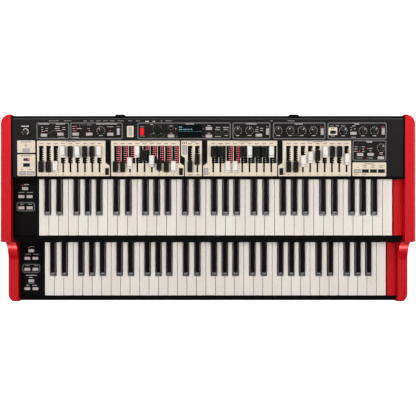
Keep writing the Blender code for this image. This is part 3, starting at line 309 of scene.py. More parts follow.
FOOT_PROFILE = ((0, 1.4), (4, 1.4), (4.5, 0.3), (5.2, 0), (10.4, 0), (11.2, 0.5))
POWER_SWITCH = 161.6
POWER_INLET = 210.9


# Finishes


def linear(code):
    """A hex sRGB colour as linear red, green, blue and alpha."""
    channels = [int(code[i : i + 2], 16) / 255 for i in (0, 2, 4)]
    return (*[c / 12.92 if c <= 0.04045 else ((c + 0.055) / 1.055) ** 2.4 for c in channels], 1)


def add_node(tree, kind, settings=(), values=(), links=()):
    """Adds a node: its settings, its sockets' values, and what feeds its sockets."""
    made = tree.nodes.new(kind)
    for name, value in dict(settings).items():
        setattr(made, name, value)
    for socket, value in dict(values).items():
        made.inputs[socket].default_value = value
    for socket, source in dict(links).items():
        tree.links.new(source, made.inputs[socket])
    return made


# Each finish: its two shades and the size of their patches, the low and high of its roughness, the size and
# height of its grain, how far it differs from piece to piece, and the shader's other values. Sizes are in mm
FINISHES = {
    # Polyurethane lacquer, sprayed on fibreboard and polished: deep red under a wet coat, faint orange peel
    "sprayed_red_lacquer": (
        ("CC0418", "C20314"), 160, (0.4, 0.46), 2.4, 0.004, 0,
        {"Metallic": 0.4, "Specular IOR Level": 0.1, "Coat Weight": 0.5, "Coat Roughness": 0.22},
    ),
    # ABS, moulded in an eroded tool, left matt so the rails stay black; the panel's rim is painted shade
    "matt_black_abs": (("080707", "050404"), 60, (0.5, 0.62), 1.4, 0.012, 0, {"Specular IOR Level": 0.02}),
    # ABS, moulded in a polished tool: near black and glossy, with a slight waviness
    "moulded_black_abs": (("0A0809", "060506"), 60, (0.3, 0.38), 3.0, 0.004, 0, {"Specular IOR Level": 0.14}),
    # Sheet steel, powder coated in warm black: a fine leathery texture that dulls reflections. The real
    # grain is about 0.4 mm, and is drawn at 1.5 mm so that it shows
    "powder_coated_steel": (
        ("1E1B1C", "191617"), 45, (0.42, 0.54), 1.5, 0.04, 0,
        {"Specular IOR Level": 0.08},
    ),
    # Enamel ink, screen printed in cream on the panel: flat and silky, a little uneven where it was pulled
    "printed_cream_enamel": (("E6D8C3", "DFD0BA"), 30, (0.38, 0.5), 1.2, 0.008, 0, {}),
    # Enamel inks, screen printed: grey for the outlines of the sections, the others for words and scales
    # The grey also draws painted light: a highlight along the panel's rear edge and shade across the white
    # caps
    "printed_grey_ink": (("5E5C5D", "545253"), 12, (0.45, 0.6), 0.8, 0.006, 0, {}),
    "printed_light_grey_ink": (("949292", "868484"), 6, (0.45, 0.6), 0.8, 0.006, 0, {}),
    "printed_green_grey_ink": (("C2CAC8", "B0B8B6"), 6, (0.45, 0.6), 0.8, 0.006, 0, {}),
    "printed_white_ink": (("D4D2D0", "C2C0BE"), 6, (0.4, 0.55), 0.8, 0.006, 0, {}),
    "printed_black_ink": (("1C1510", "261D16"), 6, (0.4, 0.55), 0.8, 0.006, 0, {}),
    # Acrylic, moulded and buffed for key tops: warm white, each key a shade apart, a soft glow inside
    "buffed_ivory_acrylic": (
        ("ECE8E1", "E2DAD1"), 70, (0.22, 0.32), 2.0, 0.006, 0.5,
        {"Subsurface Weight": 0.08, "Subsurface Scale": 0.004, "IOR": 1.49},
    ),
    # Phenolic resin, moulded and polished for the sharps: black with a brown cast and long soft highlights
    "polished_black_resin": (
        ("0E0609", "13090D"), 40, (0.16, 0.28), 2.0, 0.008, 0.4,
        {"Specular IOR Level": 0.4},
    ),
    # Phenolic, moulded and worn smooth on the knobs' dished tops: black, with a painted brown reflection
    "worn_brown_phenolic": (("2C2014", "20170F"), 5, (0.4, 0.5), 0.9, 0.01, 0.3, {"Specular IOR Level": 0.2}),
    # Nylon, moulded satin for the dark drawbar caps and knobs
    "satin_dark_nylon": (("11120F", "0A0B09"), 9, (0.3, 0.4), 0.9, 0.012, 0.3, {"Specular IOR Level": 0.3}),
    # Urea resin, moulded for the white drawbar caps: clean white, glossier than the panel
    "moulded_white_urea": (
        ("F2F0EC", "E6E3DE"), 12, (0.26, 0.36), 1.0, 0.006, 0.3,
        {"Subsurface Weight": 0.05, "Subsurface Scale": 0.003},
    ),
    # Silicone rubber, moulded matt for the push buttons: pinkish grey
    "matt_grey_silicone": (("B9B0AF", "ADA3A3"), 6, (0.5, 0.62), 0.7, 0.01, 0.3, {}),
    # Polycarbonate, moulded clear red over a lamp: it glows from inside
    "lit_red_polycarbonate": (
        ("DC0412", "C8030E"), 5, (0.2, 0.3), 1.0, 0.006, 0,
        {"Specular IOR Level": 0.2, "Emission Color": "FF0814", "Emission Strength": 0.55},
    ),
    # Epoxy lens of a lamp, cast: lit red, or grey-green when it is off
    "lit_red_lens": (
        ("D83040", "C82838"), 3, (0.2, 0.3), 1.0, 0.004, 0,
        {"Emission Color": "FF5060", "Emission Strength": 0.8},
    ),
    "unlit_lens": (("2A3532", "1E2826"), 3, (0.2, 0.32), 1.0, 0.004, 0, {}),
    "lit_green_lens": (
        ("3CC060", "2CA850"), 3, (0.2, 0.3), 1.0, 0.004, 0,
        {"Emission Color": "40D070", "Emission Strength": 0.6},
    ),
    "lit_amber_lens": (
        ("E0A050", "D09040"), 3, (0.2, 0.3), 1.0, 0.004, 0,
        {"Emission Color": "F0B060", "Emission Strength": 0.6},
    ),
    # Display cells behind glass, lit pale blue
    "lit_display_cells": (
        ("70B8C8", "60A8BA"), 3, (0.3, 0.4), 1.0, 0.004, 0,
        {"Emission Color": "8CC4D0", "Emission Strength": 0.3},
    ),
    # Acrylic sheet, cast and smoked: nearly black, mirror smooth
    "smoked_acrylic": (("0A1014", "0C1418"), 30, (0.06, 0.12), 4.0, 0.002, 0, {"IOR": 1.49}),
    # Acrylic sheet, cast and painted black behind: the insets under the drawbar sets
    "black_acrylic": (
        ("0B0B0C", "101011"), 30, (0.2, 0.3), 3.0, 0.003, 0,
        {"IOR": 1.49, "Specular IOR Level": 0.2},
    ),
    # Brass, nickel plated and tumbled: jack nuts, pins and screws
    "nickel_plated_brass": (("B4B0A8", "A29E96"), 4, (0.22, 0.36), 0.8, 0.006, 0, {"Metallic": 1.0}),
    # Steel, folded and passivated: the power supply's can
    "folded_steel": (("A0A2A4", "8E9092"), 14, (0.34, 0.5), 1.5, 0.01, 0, {"Metallic": 1.0}),
    # Rubber, compression moulded: matt feet with a dusty bloom
    "moulded_rubber": (("161616", "202020"), 6, (0.75, 0.9), 0.8, 0.03, 0, {}),
    # Hardboard, hot pressed from fibre: dull brown-black with short fibres
    "pressed_hardboard": (("3C322E", "2C2522"), 2.5, (0.7, 0.88), 1.2, 0.05, 0, {}),
    # Glass-fibre laminate under green solder mask
    "masked_laminate": (("1E4A34", "173C2A"), 3, (0.38, 0.52), 1.0, 0.01, 0, {}),
    # Glass-filled ABS, moulded in a spark-eroded tool: matt dark grey for the parts inside
    "eroded_grey_abs": (("4A4B4E", "414245"), 10, (0.55, 0.7), 0.9, 0.03, 0, {}),
    "eroded_black_abs": (("121213", "0D0D0E"), 10, (0.6, 0.75), 0.9, 0.03, 0, {}),
}


def new_material(name):
    """An empty material, its tree, and the place of each point on its piece."""
    made = bpy.data.materials.new(name)
    made.use_nodes = True
    tree = made.node_tree
    tree.nodes.clear()
    return made, tree, add_node(tree, "ShaderNodeTexCoord").outputs["Object"]


def noise(tree, place, size, detail):
    """A noise pattern, for its size in mm."""
    values = {"Scale": 1 / (size * MM), "Detail": detail}
    return add_node(tree, "ShaderNodeTexNoise", values=values, links={"Vector": place}).outputs["Fac"]


def mixed(tree, first, second, share):
    """Two colours, mixed by a pattern."""
    mix = add_node(tree, "ShaderNodeMix", {"data_type": "RGBA"}, {6: first, 7: second}, {0: share})
    return mix.outputs[2]


def surface(tree, values, links):
    shader = add_node(tree, "ShaderNodeBsdfPrincipled", values=values, links=links)
    add_node(tree, "ShaderNodeOutputMaterial", links={"Surface": shader.outputs[0]})


def finish(name):
    """The procedural material of a finish, made once."""
    if name in bpy.data.materials:
        return bpy.data.materials[name]
    shades, patch, (smooth, rough), grain, relief, each, others = FINISHES[name]
    made, tree, place = new_material(name)
    first, second = [linear(code) for code in shades]
    made.diffuse_color = first
    share = noise(tree, place, patch, 3)
    if each:
        piece = add_node(tree, "ShaderNodeObjectInfo").outputs["Random"]
        share = add_node(tree, "ShaderNodeMix", values={0: each}, links={2: share, 3: piece}).outputs[0]
    colour = mixed(tree, first, second, share)
    height = noise(tree, place, grain, 2)
    roughness = add_node(
        tree, "ShaderNodeMapRange", values={"To Min": smooth, "To Max": rough}, links={"Value": height}
    )
    bump = add_node(tree, "ShaderNodeBump", values={"Distance": relief * MM}, links={"Height": height})
    values = {socket: linear(value) if isinstance(value, str) else value for socket, value in others.items()}
    links = {"Roughness": roughness.outputs["Result"], "Normal": bump.outputs["Normal"]}
    surface(tree, values, {"Base Color": colour, **links})
    return made


# The finish that stands for each of the record's material slots
SLOT_FINISHES = {
    "red_lacquer": "sprayed_red_lacquer",
    "black_plastic": "moulded_black_abs",
    "panel_black": "powder_coated_steel",
    "ivory_key": "buffed_ivory_acrylic",
    "black_key": "polished_black_resin",
    "drawbar_dark": "satin_dark_nylon",
    "drawbar_white": "moulded_white_urea",
    "button_grey": "matt_grey_silicone",
    "button_red": "lit_red_polycarbonate",
    "glass_dark": "smoked_acrylic",
    "board_green": "masked_laminate",
    "frame_grey": "eroded_grey_abs",
    "steel": "folded_steel",
    "pressed_board": "pressed_hardboard",
    "rubber": "moulded_rubber",
}


# Shapes, in millimetres


def skin(bm, rings, look=0, place=Matrix()):
    """Adds a closed skin through rings of points, capped at both ends. A ring of one point is a pole."""
    loops = [[bm.verts.new(place @ Vector(point)) for point in ring] for ring in rings]
    made = []
    for low, high in zip(loops, loops[1:]):
        count = max(len(low), len(high))
        for i in range(count):
            j = (i + 1) % count
            corners = (low[i % len(low)], low[j % len(low)], high[j % len(high)], high[i % len(high)])
            made.append(bm.faces.new(list(dict.fromkeys(corners))))
    for loop, order in ((loops[0], -1), (loops[-1], 1)):
        if len(loop) > 2:
            made.append(bm.faces.new(loop[::order]))
    for face in made:
        face.material_index = look


def arc(radius, start, end, steps, centre=(0, 0)):
    turns = [math.radians(start + (end - start) * i / steps) for i in range(steps + 1)]
    return [(centre[0] + radius * math.cos(a), centre[1] + radius * math.sin(a)) for a in turns]


def circle(radius, sides):
    return arc(radius, 0, 360, sides)[:-1]


def rectangle(x_low, x_high, y_low, y_high):
    return [(x_low, y_low), (x_high, y_low), (x_high, y_high), (x_low, y_high)]


def round_rectangle(width, length, corner, steps=3):
    points = []
    for side, end, start in ((1, 1, 0), (-1, 1, 90), (-1, -1, 180), (1, -1, 270)):
        middle = (side * (width / 2 - corner), end * (length / 2 - corner))
        points += arc(corner, start, start + 90, steps, middle)
    return points


def filleted(points, radius, steps=3):
    """An outline with its corners rounded."""
    result = []
    for i, point in enumerate(points):
        here = Vector(point)
        before = Vector(points[i - 1]) - here
        after = Vector(points[(i + 1) % len(points)]) - here
        start = here + before.normalized() * min(radius, before.length / 2)
        end = here + after.normalized() * min(radius, after.length / 2)
        for k in range(steps + 1):
            t = k / steps
            result.append(tuple(start * (1 - t) ** 2 + here * (2 * t * (1 - t)) + end * t * t))
    return result


def moulding(bm, size, corner, levels, look=0, place=Matrix(), steps=3):
    """Adds a round-cornered form from its levels of (inset, z)."""
    rings = []
    for inset, z in levels:
        outline = round_rectangle(size[0] - 2 * inset, size[1] - 2 * inset, max(corner - inset, 0.1), steps)
        rings.append([(x, y, z) for x, y in outline])
    skin(bm, rings, look, place)


def eased(bottom, top, radius, steps=3):
    """Levels of (inset, z) up a wall and over a rounded upper edge."""
    turns = [math.pi / 2 * i / steps for i in range(steps + 1)]
    return [(0, bottom)] + [(radius * (1 - math.cos(a)), top - radius + radius * math.sin(a)) for a in turns]


def turned(bm, profile, sides=24, look=0, place=Matrix(), flutes=0, depth=0):
    """Adds a turned form from its (radius, z) profile. Levels marked with a third value are fluted."""
    rings = []
    for radius, z, *marked in profile:
        ring = []
        for i in range(sides if radius else 1):
            turn = 2 * math.pi * i / sides
            reach = radius - depth * (0.5 + 0.5 * math.cos(flutes * turn)) if marked else radius
            ring.append((reach * math.cos(turn), reach * math.sin(turn), z))
        rings.append(ring)
    skin(bm, rings, look, place)


def prism(bm, outline, low, high, sideways=False):
    """Adds an outline swept between two places: (x, y) upwards, or (y, z) sideways."""
    skin(bm, [[(t, a, b) if sideways else (a, b, t) for a, b in outline] for t in (low, high)])


def perforated(bm, outline, holes, heights, look=0, place=PANEL):
    """Adds a flat sheet with holes through it. Outlines are in (x, y)."""
    low, high = heights
    loops = [outline, *holes]
    points = [point for loop in loops for point in loop]
    top = [bm.verts.new(place @ Vector((x, y, high))) for x, y in points]
    bottom = [bm.verts.new(place @ Vector((x, y, low))) for x, y in points]
    made = []
    for a, b, c in tessellate_polygon([[Vector((x, y, 0)) for x, y in loop] for loop in loops]):
        made.append(bm.faces.new((top[a], top[b], top[c])))
        made.append(bm.faces.new((bottom[c], bottom[b], bottom[a])))
    start = 0
    for loop in loops:
        for i in range(len(loop)):
            j = start + (i + 1) % len(loop)
            k = start + i
            made.append(bm.faces.new((bottom[k], bottom[j], top[j], top[k])))
        start += len(loop)
    for face in made:
        face.material_index = look


def slab(bm, sides, heights, look=0, place=PANEL):
    """Adds a flat bar from its sides in x and y."""
    perforated(bm, rectangle(*sides), [], heights, look, place)


def ease(bm, radius, segments=2, degrees=35, wanted=lambda middle: True):
    """Rounds the sharp edges whose middle is wanted."""
    edges = []
    for edge in bm.edges:
        if len(edge.link_faces) == 2 and edge.calc_face_angle() > math.radians(degrees):
            if wanted((edge.verts[0].co + edge.verts[1].co) / 2):
                edges.append(edge)
    bmesh.ops.bevel(
        bm, geom=edges, offset=radius, segments=segments, affect="EDGES", profile=0.5, clamp_overlap=True
    )


def mesh_of(name, bm):
    mesh = bpy.data.meshes.new(name)
    bm.to_mesh(mesh)
    bm.free()
    return mesh


def add_object(name, data):
    made = bpy.data.objects.new(name, data)
    bpy.context.scene.collection.objects.link(made)
    return made


def solid_of(first, second, operation):
    """Cuts or meets two closed meshes."""
    pair = []
    for bm in (first, second):
        bmesh.ops.recalc_face_normals(bm, faces=bm.faces)
        pair.append(add_object("rough", mesh_of("rough", bm)))
    modifier = pair[0].modifiers.new("solid", "BOOLEAN")
    modifier.operation = operation
    modifier.object = pair[1]
    bpy.context.view_layer.update()
    graph = bpy.context.evaluated_depsgraph_get()
    result = bmesh.new()
    result.from_mesh(pair[0].evaluated_get(graph).to_mesh())
    for obj in pair:
        mesh = obj.data
        bpy.data.objects.remove(obj)
        bpy.data.meshes.remove(mesh)
    bmesh.ops.remove_doubles(result, verts=result.verts, dist=0.01)
    return result


def make(name, bm, slot, looks="", body="body", replaced="", smooth=50):
    """Turns a mesh in mm into a piece that rides on a body. Its looks are its slot's if none are given."""
    bmesh.ops.recalc_face_normals(bm, faces=bm.faces)
    bm.transform(Matrix.Scale(MM, 4))
    mesh = mesh_of(name, bm)
    for look in (looks or SLOT_FINISHES[slot]).split():
        mesh.materials.append(finish(look))
    mesh.shade_smooth()
    mesh.set_sharp_from_angle(angle=math.radians(smooth))
    piece = add_object(name, mesh)
    piece.modifiers.new("Even shading", "WEIGHTED_NORMAL").keep_sharp = True
    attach(piece, body)
    if replaced:
        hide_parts(*replaced.split())


def dress(node, looks):
    """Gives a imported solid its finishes, in the order of its slots."""
    for place, look in zip(frame["nodes"][node].material_slots, looks.split()):
        place.material = finish(look)


def at(x, y, z=0):
    return Matrix.Translation((x, y, z))


def rotated(degrees, axis="Z"):
    return Matrix.Rotation(math.radians(degrees), 4, axis)


def on_panel(x, y, z=0):
    return PANEL @ at(x, y, z)


# Case


def cheek_side_view():
    """(y, z) of a cheek: low front part, sweep, nose, tall rear part."""
    step = LEVELS["lower"] + CHEEK_STEP_RISE
    nose = LEVELS["upper"] - CHEEK_NOSE_DROP
    rail = KEY_FRONTS["upper"] - RAIL_DEPTHS["upper"]
    sweep = []
    for i in range(SWEEP_STEPS + 1):
        turn = math.pi / 2 * i / SWEEP_STEPS
        y = rail - SWEEP_LENGTH + SWEEP_LENGTH * math.cos(turn) ** SWEEP_POWER
        sweep.append((y, nose - (nose - step) * math.sin(turn) ** SWEEP_POWER))
    front = [(FRONT_Y, CASE_BOTTOM), (FRONT_Y + 3.5, step)]
    rear = [(rail + 3, CHEEK_TOP), (CHEEK_REAR_Y, CHEEK_TOP), (CHEEK_REAR_Y, CASE_BOTTOM)]
    return front + sweep[::-1] + rear


def make_cheeks(settings):
    radius = settings.cheek_corner / MM
    corner_x = CHEEK_OUTER - radius
    outline = [(INNER_X, FRONT_Y)]
    outline += arc(radius, -90, 0, 16, (corner_x, FRONT_Y + radius))
    outline += arc(radius, 0, 90, 16, (corner_x, CHEEK_REAR_Y - radius))
    outline.append((INNER_X, CHEEK_REAR_Y))
    for name, side in (("left_cheek", -1), ("right_cheek", 1)):
        swept = bmesh.new()
        prism(swept, cheek_side_view(), side * (INNER_X - GAP), side * (CHEEK_OUTER + GAP), True)
        plan = bmesh.new()
        prism(plan, [(side * x, y) for x, y in outline], 0, CHEEK_TOP + 9)
        bm = solid_of(swept, plan, "INTERSECT")
        inner, bottom = INNER_X + GAP, CASE_BOTTOM + GAP
        ease(bm, settings.cheek_edge / MM, 5, 35, lambda middle: abs(middle.x) > inner and middle.z > bottom)
        make(f"{name}_body", bm, "red_lacquer", replaced=name, smooth=40)


def make_rails():
    for name, base, face in (
        ("lower", LOWER_RAIL_BASE, [(-14, -20), (-11, -10), (-3, 1)]),
        ("upper", cad_box("upper_deck")[0].z, [(-17.4, -24), (-15.4, -19), (-2.9, -1.2)]),
    ):
        y, z = KEY_FRONTS[name], LEVELS[name]
        outline = [(-0.9, face[-1][1]), (-0.9, base - z), (-RAIL_DEPTHS[name], base - z), *face]
        bm = bmesh.new()
        prism(bm, [(y + a, z + b) for a, b in outline], -INNER_X + GAP, INNER_X - GAP, True)
        ease(bm, 1.2, 3, 15)
        make(f"{name}_rail", bm, "black_plastic", "matt_black_abs", replaced=f"{name}_front_rail")


def box_mesh(low, high, edge):
    bm = bmesh.new()
    prism(bm, rectangle(low.x, high.x, low.y, high.y), low.z, high.z)
    if edge:
        ease(bm, edge, 2)
    return bm


def block_mesh(low, high):
    bm = box_mesh(low, high, 0)
    ease(bm, KEY_NOSE, 5, 35, lambda middle: middle.y < low.y + GAP and middle.z > high.z - GAP)
    ease(bm, BOARD_EDGE, 2, 35, lambda middle: middle.z > high.z - 4)
    return bm


def make_boards():
    for node in ("bottom_board", "upper_deck"):
        make(f"{node}_sheet", box_mesh(*cad_box(node), BOARD_EDGE), "pressed_board", replaced=node)


def soft_button(name, size, slot, place, body="body", node="", under=BOARD_TOP, corner=1.2, rise=BUTTON_RISE):
    """A push button with a rounded shoulder and a slightly dished face."""
    bm = bmesh.new()
    levels = eased(under, rise, 1.0) + [(1.7, rise - 0.05), (2.5, rise - 0.35)]
    moulding(bm, (size[0] - 0.8, size[1] - 0.4), corner, levels, 0, place, 4)
    make(name, bm, slot, body=body, replaced=node)


def block_top(name, x, y):
    """A place on a left end block: x from its middle, y from its keys' front."""
    low, high = cad_box(f"{name}_left_block")
    return at((low.x + high.x) / 2 + x, KEY_FRONTS[name] + y, LEVELS[name] + BLOCK_RISE)


def make_end_blocks():
    button_low, button_high = cad_box("block_button")
    for name, places in BLOCK_BUTTONS.items():
        node = f"{name}_right_block"
        make(f"{node}_body", block_mesh(*cad_box(node)), "red_lacquer", replaced=node)

        node = f"{name}_left_block"
        low, high = cad_box(node)
        high.z = LEVELS[name] + BLOCK_RISE
        bm = block_mesh(low, high)
        if name == "upper":
            pocket_low, pocket_high = button_low - Vector((GAP, GAP, 0)), button_high + Vector((GAP, GAP, 0))
            pocket_low.z, pocket_high.z = high.z - 8, high.z + 5
            bm = solid_of(bm, box_mesh(pocket_low, pocket_high, 0), "DIFFERENCE")
        make(f"{node}_body", bm, "black_plastic", replaced=node)
        for number, (x, y) in enumerate(places, 1):
            button = f"{name}_block_button_{number}"
            soft_button(button, BLOCK_BUTTON, "button_grey", block_top(name, x, y), "body", node, -1)
    x, y, _ = (button_low + button_high) / 2
    place = at(x, y, button_high.z - BUTTON_RISE)
    soft_button("split_button", BLOCK_BUTTON, "button_grey", place, "block_button", "block_button", -6.2)


# Manuals


def sharp_after(index):
    """The centre of the sharp that follows a natural, from the keys' left end."""
    offset = SHARP_OFFSETS.get(index % 7)
    if offset is None or not 0 <= index < NATURALS - 1:
        return None
    return (index + 1) * NATURAL_PITCH + offset


def natural_mesh(index, front, top, edge):
    """A natural with a rounded nose and eased edges, cut back beside its sharps."""
    left = KEYS_LEFT + index * NATURAL_PITCH + NATURAL_GAP / 2
    right = left + NATURAL_PITCH - NATURAL_GAP
    head = front + SHARP_SETBACK - SHARP_CLEARANCE
    rear = front + KEY_LENGTH
    beside = SHARP_WIDTH / 2 + SHARP_CLEARANCE
    outline = [(left, front), (right, front)]
    following = sharp_after(index)
    if following is None:
        outline.append((right, rear))
    else:
        x = KEYS_LEFT + following - beside
        outline += [(right, head), (x, head), (x, rear)]
    previous = sharp_after(index - 1)
    if previous is None:
        outline.append((left, rear))
    else:
        x = KEYS_LEFT + previous + beside
        outline += [(x, rear), (x, head), (left, head)]
    bm = bmesh.new()
    prism(bm, outline, top - KEY_THICKNESS, top)
    ease(bm, KEY_NOSE, 4, 35, lambda middle: middle.y < front + 0.1 and middle.z > top - 0.1)
    ease(bm, edge, 2, 35, lambda middle: middle.z > top - KEY_THICKNESS + 0.1)
    return bm


def sharp_mesh(centre, front, top, shown):
    """A sharp: a bar as long as the key, with a tapered, crowned hump on the part that shows."""
    slope = (SHARP_WIDTH - SHARP_TOP_WIDTH) / 2 / SHARP_HEIGHT
    start, end = front + SHARP_SETBACK, front + shown
    stations = [(start + y, z) for y, z in SHARP_HUMP]
    stations += [(end - 0.5, SHARP_HEIGHT), (end, 0.4), (front + KEY_LENGTH, 0.4)]
    rings = []
    for y, height in stations:
        radius = min(1.7, 0.45 * height)
        side = []
        for turn in (0, 30, 60, 90):
            a = math.radians(turn)
            z = height - radius + radius * math.sin(a)
            side.append((SHARP_WIDTH / 2 - slope * z - radius * (1 - math.cos(a)), z - 0.2 * math.sin(a)))
        half = [(SHARP_WIDTH / 2, -KEY_THICKNESS / 2), (SHARP_WIDTH / 2, 0), *side, (2, height - 0.02)]
        ring = [(centre + x, y, top + z) for x, z in half]
        rings.append(ring + [(centre - x, y, top + z) for x, z in reversed(half)])
    bm = bmesh.new()
    skin(bm, rings)
    return bm


def make_manuals(settings):
    """The first keys of a manual ride on bodies of their own, the others on the case."""
    for name in ("lower", "upper"):
        front, top, moving = KEY_FRONTS[name], LEVELS[name], MOVING[name]
        for index in range(NATURALS):
            letter, octave = NATURAL_NAMES[index % 7], index // 7 + 1
            centre = sharp_after(index)
            kinds = (("natural", "", 50), ("sharp", "_sharp", 40))
            for kind, mark, smooth in kinds if centre else kinds[:1]:
                if kind == "natural":
                    bm = natural_mesh(index, front, top, settings.key_edge / MM)
                else:
                    bm = sharp_mesh(KEYS_LEFT + centre, front, top, SHOWN[name])
                body, node = "body", f"{name}_{kind}_keys"
                if index < moving:
                    body = node = f"{name}_key_{letter}{mark}"
                key = f"{name}_{letter}{mark}_{octave}"
                make(key, bm, KEY_SLOTS[kind], body=body, replaced=node, smooth=smooth)
        left = KEYS_LEFT + moving * NATURAL_PITCH + NATURAL_GAP / 2
        right = KEYS_LEFT + NATURALS * NATURAL_PITCH - NATURAL_GAP / 2
        rear = front + KEY_LENGTH
        for kind, low, high in (("natural", top - KEY_THICKNESS, top - 7.3), ("sharp", top - 7, top)):
            bm = box_mesh(Vector((left, rear + GAP, low)), Vector((right, rear + 9, high)), 0.5)
            make(f"{name}_{kind}_strip", bm, KEY_SLOTS[kind], replaced=f"{name}_{kind}_keys")
        dress(f"{name}_key_chassis", "eroded_grey_abs")


# Control panel: its plates and insets


def bar_columns(name):
    """Where the drawbars of a set stand, in mm from the panel's middle."""
    middle, bars = SETS[name]
    return [column(middle) + (i - (len(bars) - 1) / 2) * DRAWBAR_PITCH for i in range(len(bars))]


def stepped_slot(x, narrow, left, right, front, teeth=()):
    """An opening that is narrow in front of its step and wide behind it."""
    step = SLOT_REAR - WIDE_SLOT_LENGTH
    before = [(x - narrow, front), (x - narrow, step), (x - left, step), (x - left, SLOT_REAR)]
    after = [(x + right, step), (x + narrow, step), (x + narrow, front)]
    return [*before, (x + right, SLOT_REAR), *teeth, *after]


def toothed_slot(x):
    """The opening round a drawbar's slot, with teeth down its right side as a scale."""
    teeth = []
    for i in range(SCALE_TEETH):
        y = SLOT_REAR - 7.8 - LADDER_PITCH * i
        teeth += [(x + 5.4, y + 0.9), (x + 2.5, y + 0.8), (x + 2.5, y - 0.8), (x + 5.4, y - 0.9)]
    return stepped_slot(x, 2.1, 5.4, 5.4, SLOT_FRONT - 0.4, teeth)


def ladder_slot(x):
    """The opening round a drawbar and its ladder of lamps."""
    return stepped_slot(x, 2.1, 3.25, 12.65, SLOT_FRONT - 0.4)


def holes_in(outline, controls):
    """Openings for the controls that stand in a plate."""
    xs, ys = zip(*outline)
    holes = []
    for _, (width, length), (x, y) in controls:
        if min(xs) < x < max(xs) and min(ys) < y < max(ys):
            a, b = width / 2 + CONTROL_GAP, length / 2 + CONTROL_GAP
            holes.append(rectangle(x - a, x + a, y - b, y + b))
    return holes


def line(bm, points, look=0, place=PANEL):
    """A thin printed line from point to point."""
    for first, second in zip(points, points[1:]):
        along = Vector(second) - Vector(first)
        spot = place @ at(*first) @ Matrix.Rotation(math.atan2(along.y, along.x), 4, "Z")
        slab(bm, (-0.2, along.length + 0.2, -0.35, 0.35), LINE_INK, look, spot)


def make_plates():
    for name, outline in SET_PLATES.items():
        opening = ladder_slot if name in LADDER_SETS else toothed_slot
        holes = [opening(x) for x in bar_columns(name)] + holes_in(outline, FRAME_BUTTONS)
        bm = bmesh.new()
        perforated(bm, filleted(outline, 1.2), holes, SET_PLATE)
        make(f"{name}_plate", bm, "panel_black", "printed_cream_enamel")
    controls = (*FRAME_BUTTONS, *CONTROL_BUTTONS, ("button_grey", ROTARY_ROCKER_SIZE, ROTARY_ROCKER))
    for number, sides in enumerate(SMALL_PLATES, 1):
        outline = rectangle(*sides)
        bm = bmesh.new()
        perforated(bm, filleted(outline, 2), holes_in(outline, controls), SMALL_PLATE)
        make(f"small_plate_{number}", bm, "panel_black", "printed_cream_enamel")


def make_outlines():
    """The frames of the sections, the rings of the oval buttons, the thin lines and a painted highlight."""
    bm = bmesh.new()
    for x_low, x_high, y_low, y_high in SECTIONS:
        outer = rectangle(x_low, x_high, y_low, y_high)
        inner = rectangle(x_low + 2.6, x_high - 2.6, y_low + 2.6, y_high - 2.6)
        perforated(bm, filleted(outer, 4.5), [filleted(inner, 2)], LINE_INK)
    for points in SECTION_LINES:
        line(bm, points)
    ring = round_rectangle(15, 8.6, 4.2, 4)
    eye = round_rectangle(13.8, 7.4, 3.6, 4)
    for _, size, place in CONTROL_BUTTONS:
        if size == OVAL and place != RAISED_OVAL:
            perforated(bm, ring, [eye], LINE_INK, 0, on_panel(*place))
    # A painted highlight: a grey line along the panel's rear edge, where its bevel catches the light
    slab(bm, (-INNER_X + 4.4, INNER_X - 4.4, 142.9, 143.7), LINE_INK)
    make("section_outlines", bm, "panel_black", "printed_grey_ink")


def make_wells():
    """Black insets with the drawbars' slots, black strips between the plates, and a rim of painted shade."""
    bm = bmesh.new()
    for name in SETS:
        xs = bar_columns(name)
        beyond = 13.5 if name in LADDER_SETS else 6
        outline = rectangle(xs[0] - 6, xs[-1] + beyond, SLOT_FRONT - 2, SLOT_REAR + 2)
        perforated(bm, outline, [stepped_slot(x, 1.65, 4.6, 4.6, SLOT_FRONT) for x in xs], WELL_SHEET)
    # Painted shade: a black band round the panel's edges, standing for the shade on its lip, bevels and gaps
    rim_shade = rectangle(-INNER_X + 0.8, INNER_X - 0.8, 0.4, 149.2)
    inside = rectangle(-INNER_X + 4.2, INNER_X - 4.2, 6.3, 145)
    perforated(bm, rim_shade, [inside], MARK_INK, 1)
    for sides in ((-241.5, -231, 42, 91), (-65.2, -56.5, 36, 49), (-13, -3, 41, 91), (165.3, 175.4, 41, 91)):
        perforated(bm, filleted(rectangle(*sides), 1), [], MARK_INK)
    make("black_insets", bm, "panel_black", "black_acrylic matt_black_abs")


# Control panel: its words, all of them rows of blank blocks


def word(bm, x, y, length, height=1.4, look=0, place=PANEL):
    """A printed word, drawn as a row of blank blocks the size of letters."""
    letter = 0.75 * height
    count = max(1, round(length / (letter * 1.35)))
    for i in range(count):
        left = x - length / 2 + i * length / count
        tall = height * (1 if i % 3 else 0.8)
        slab(bm, (left, left + letter, y - tall / 2, y + tall / 2), WORD_INK, look, place)


def word_rows(bm, rows, place=PANEL):
    for height, look, places in rows:
        for x, y, length in places:
            word(bm, x, y, length, height, look, place)


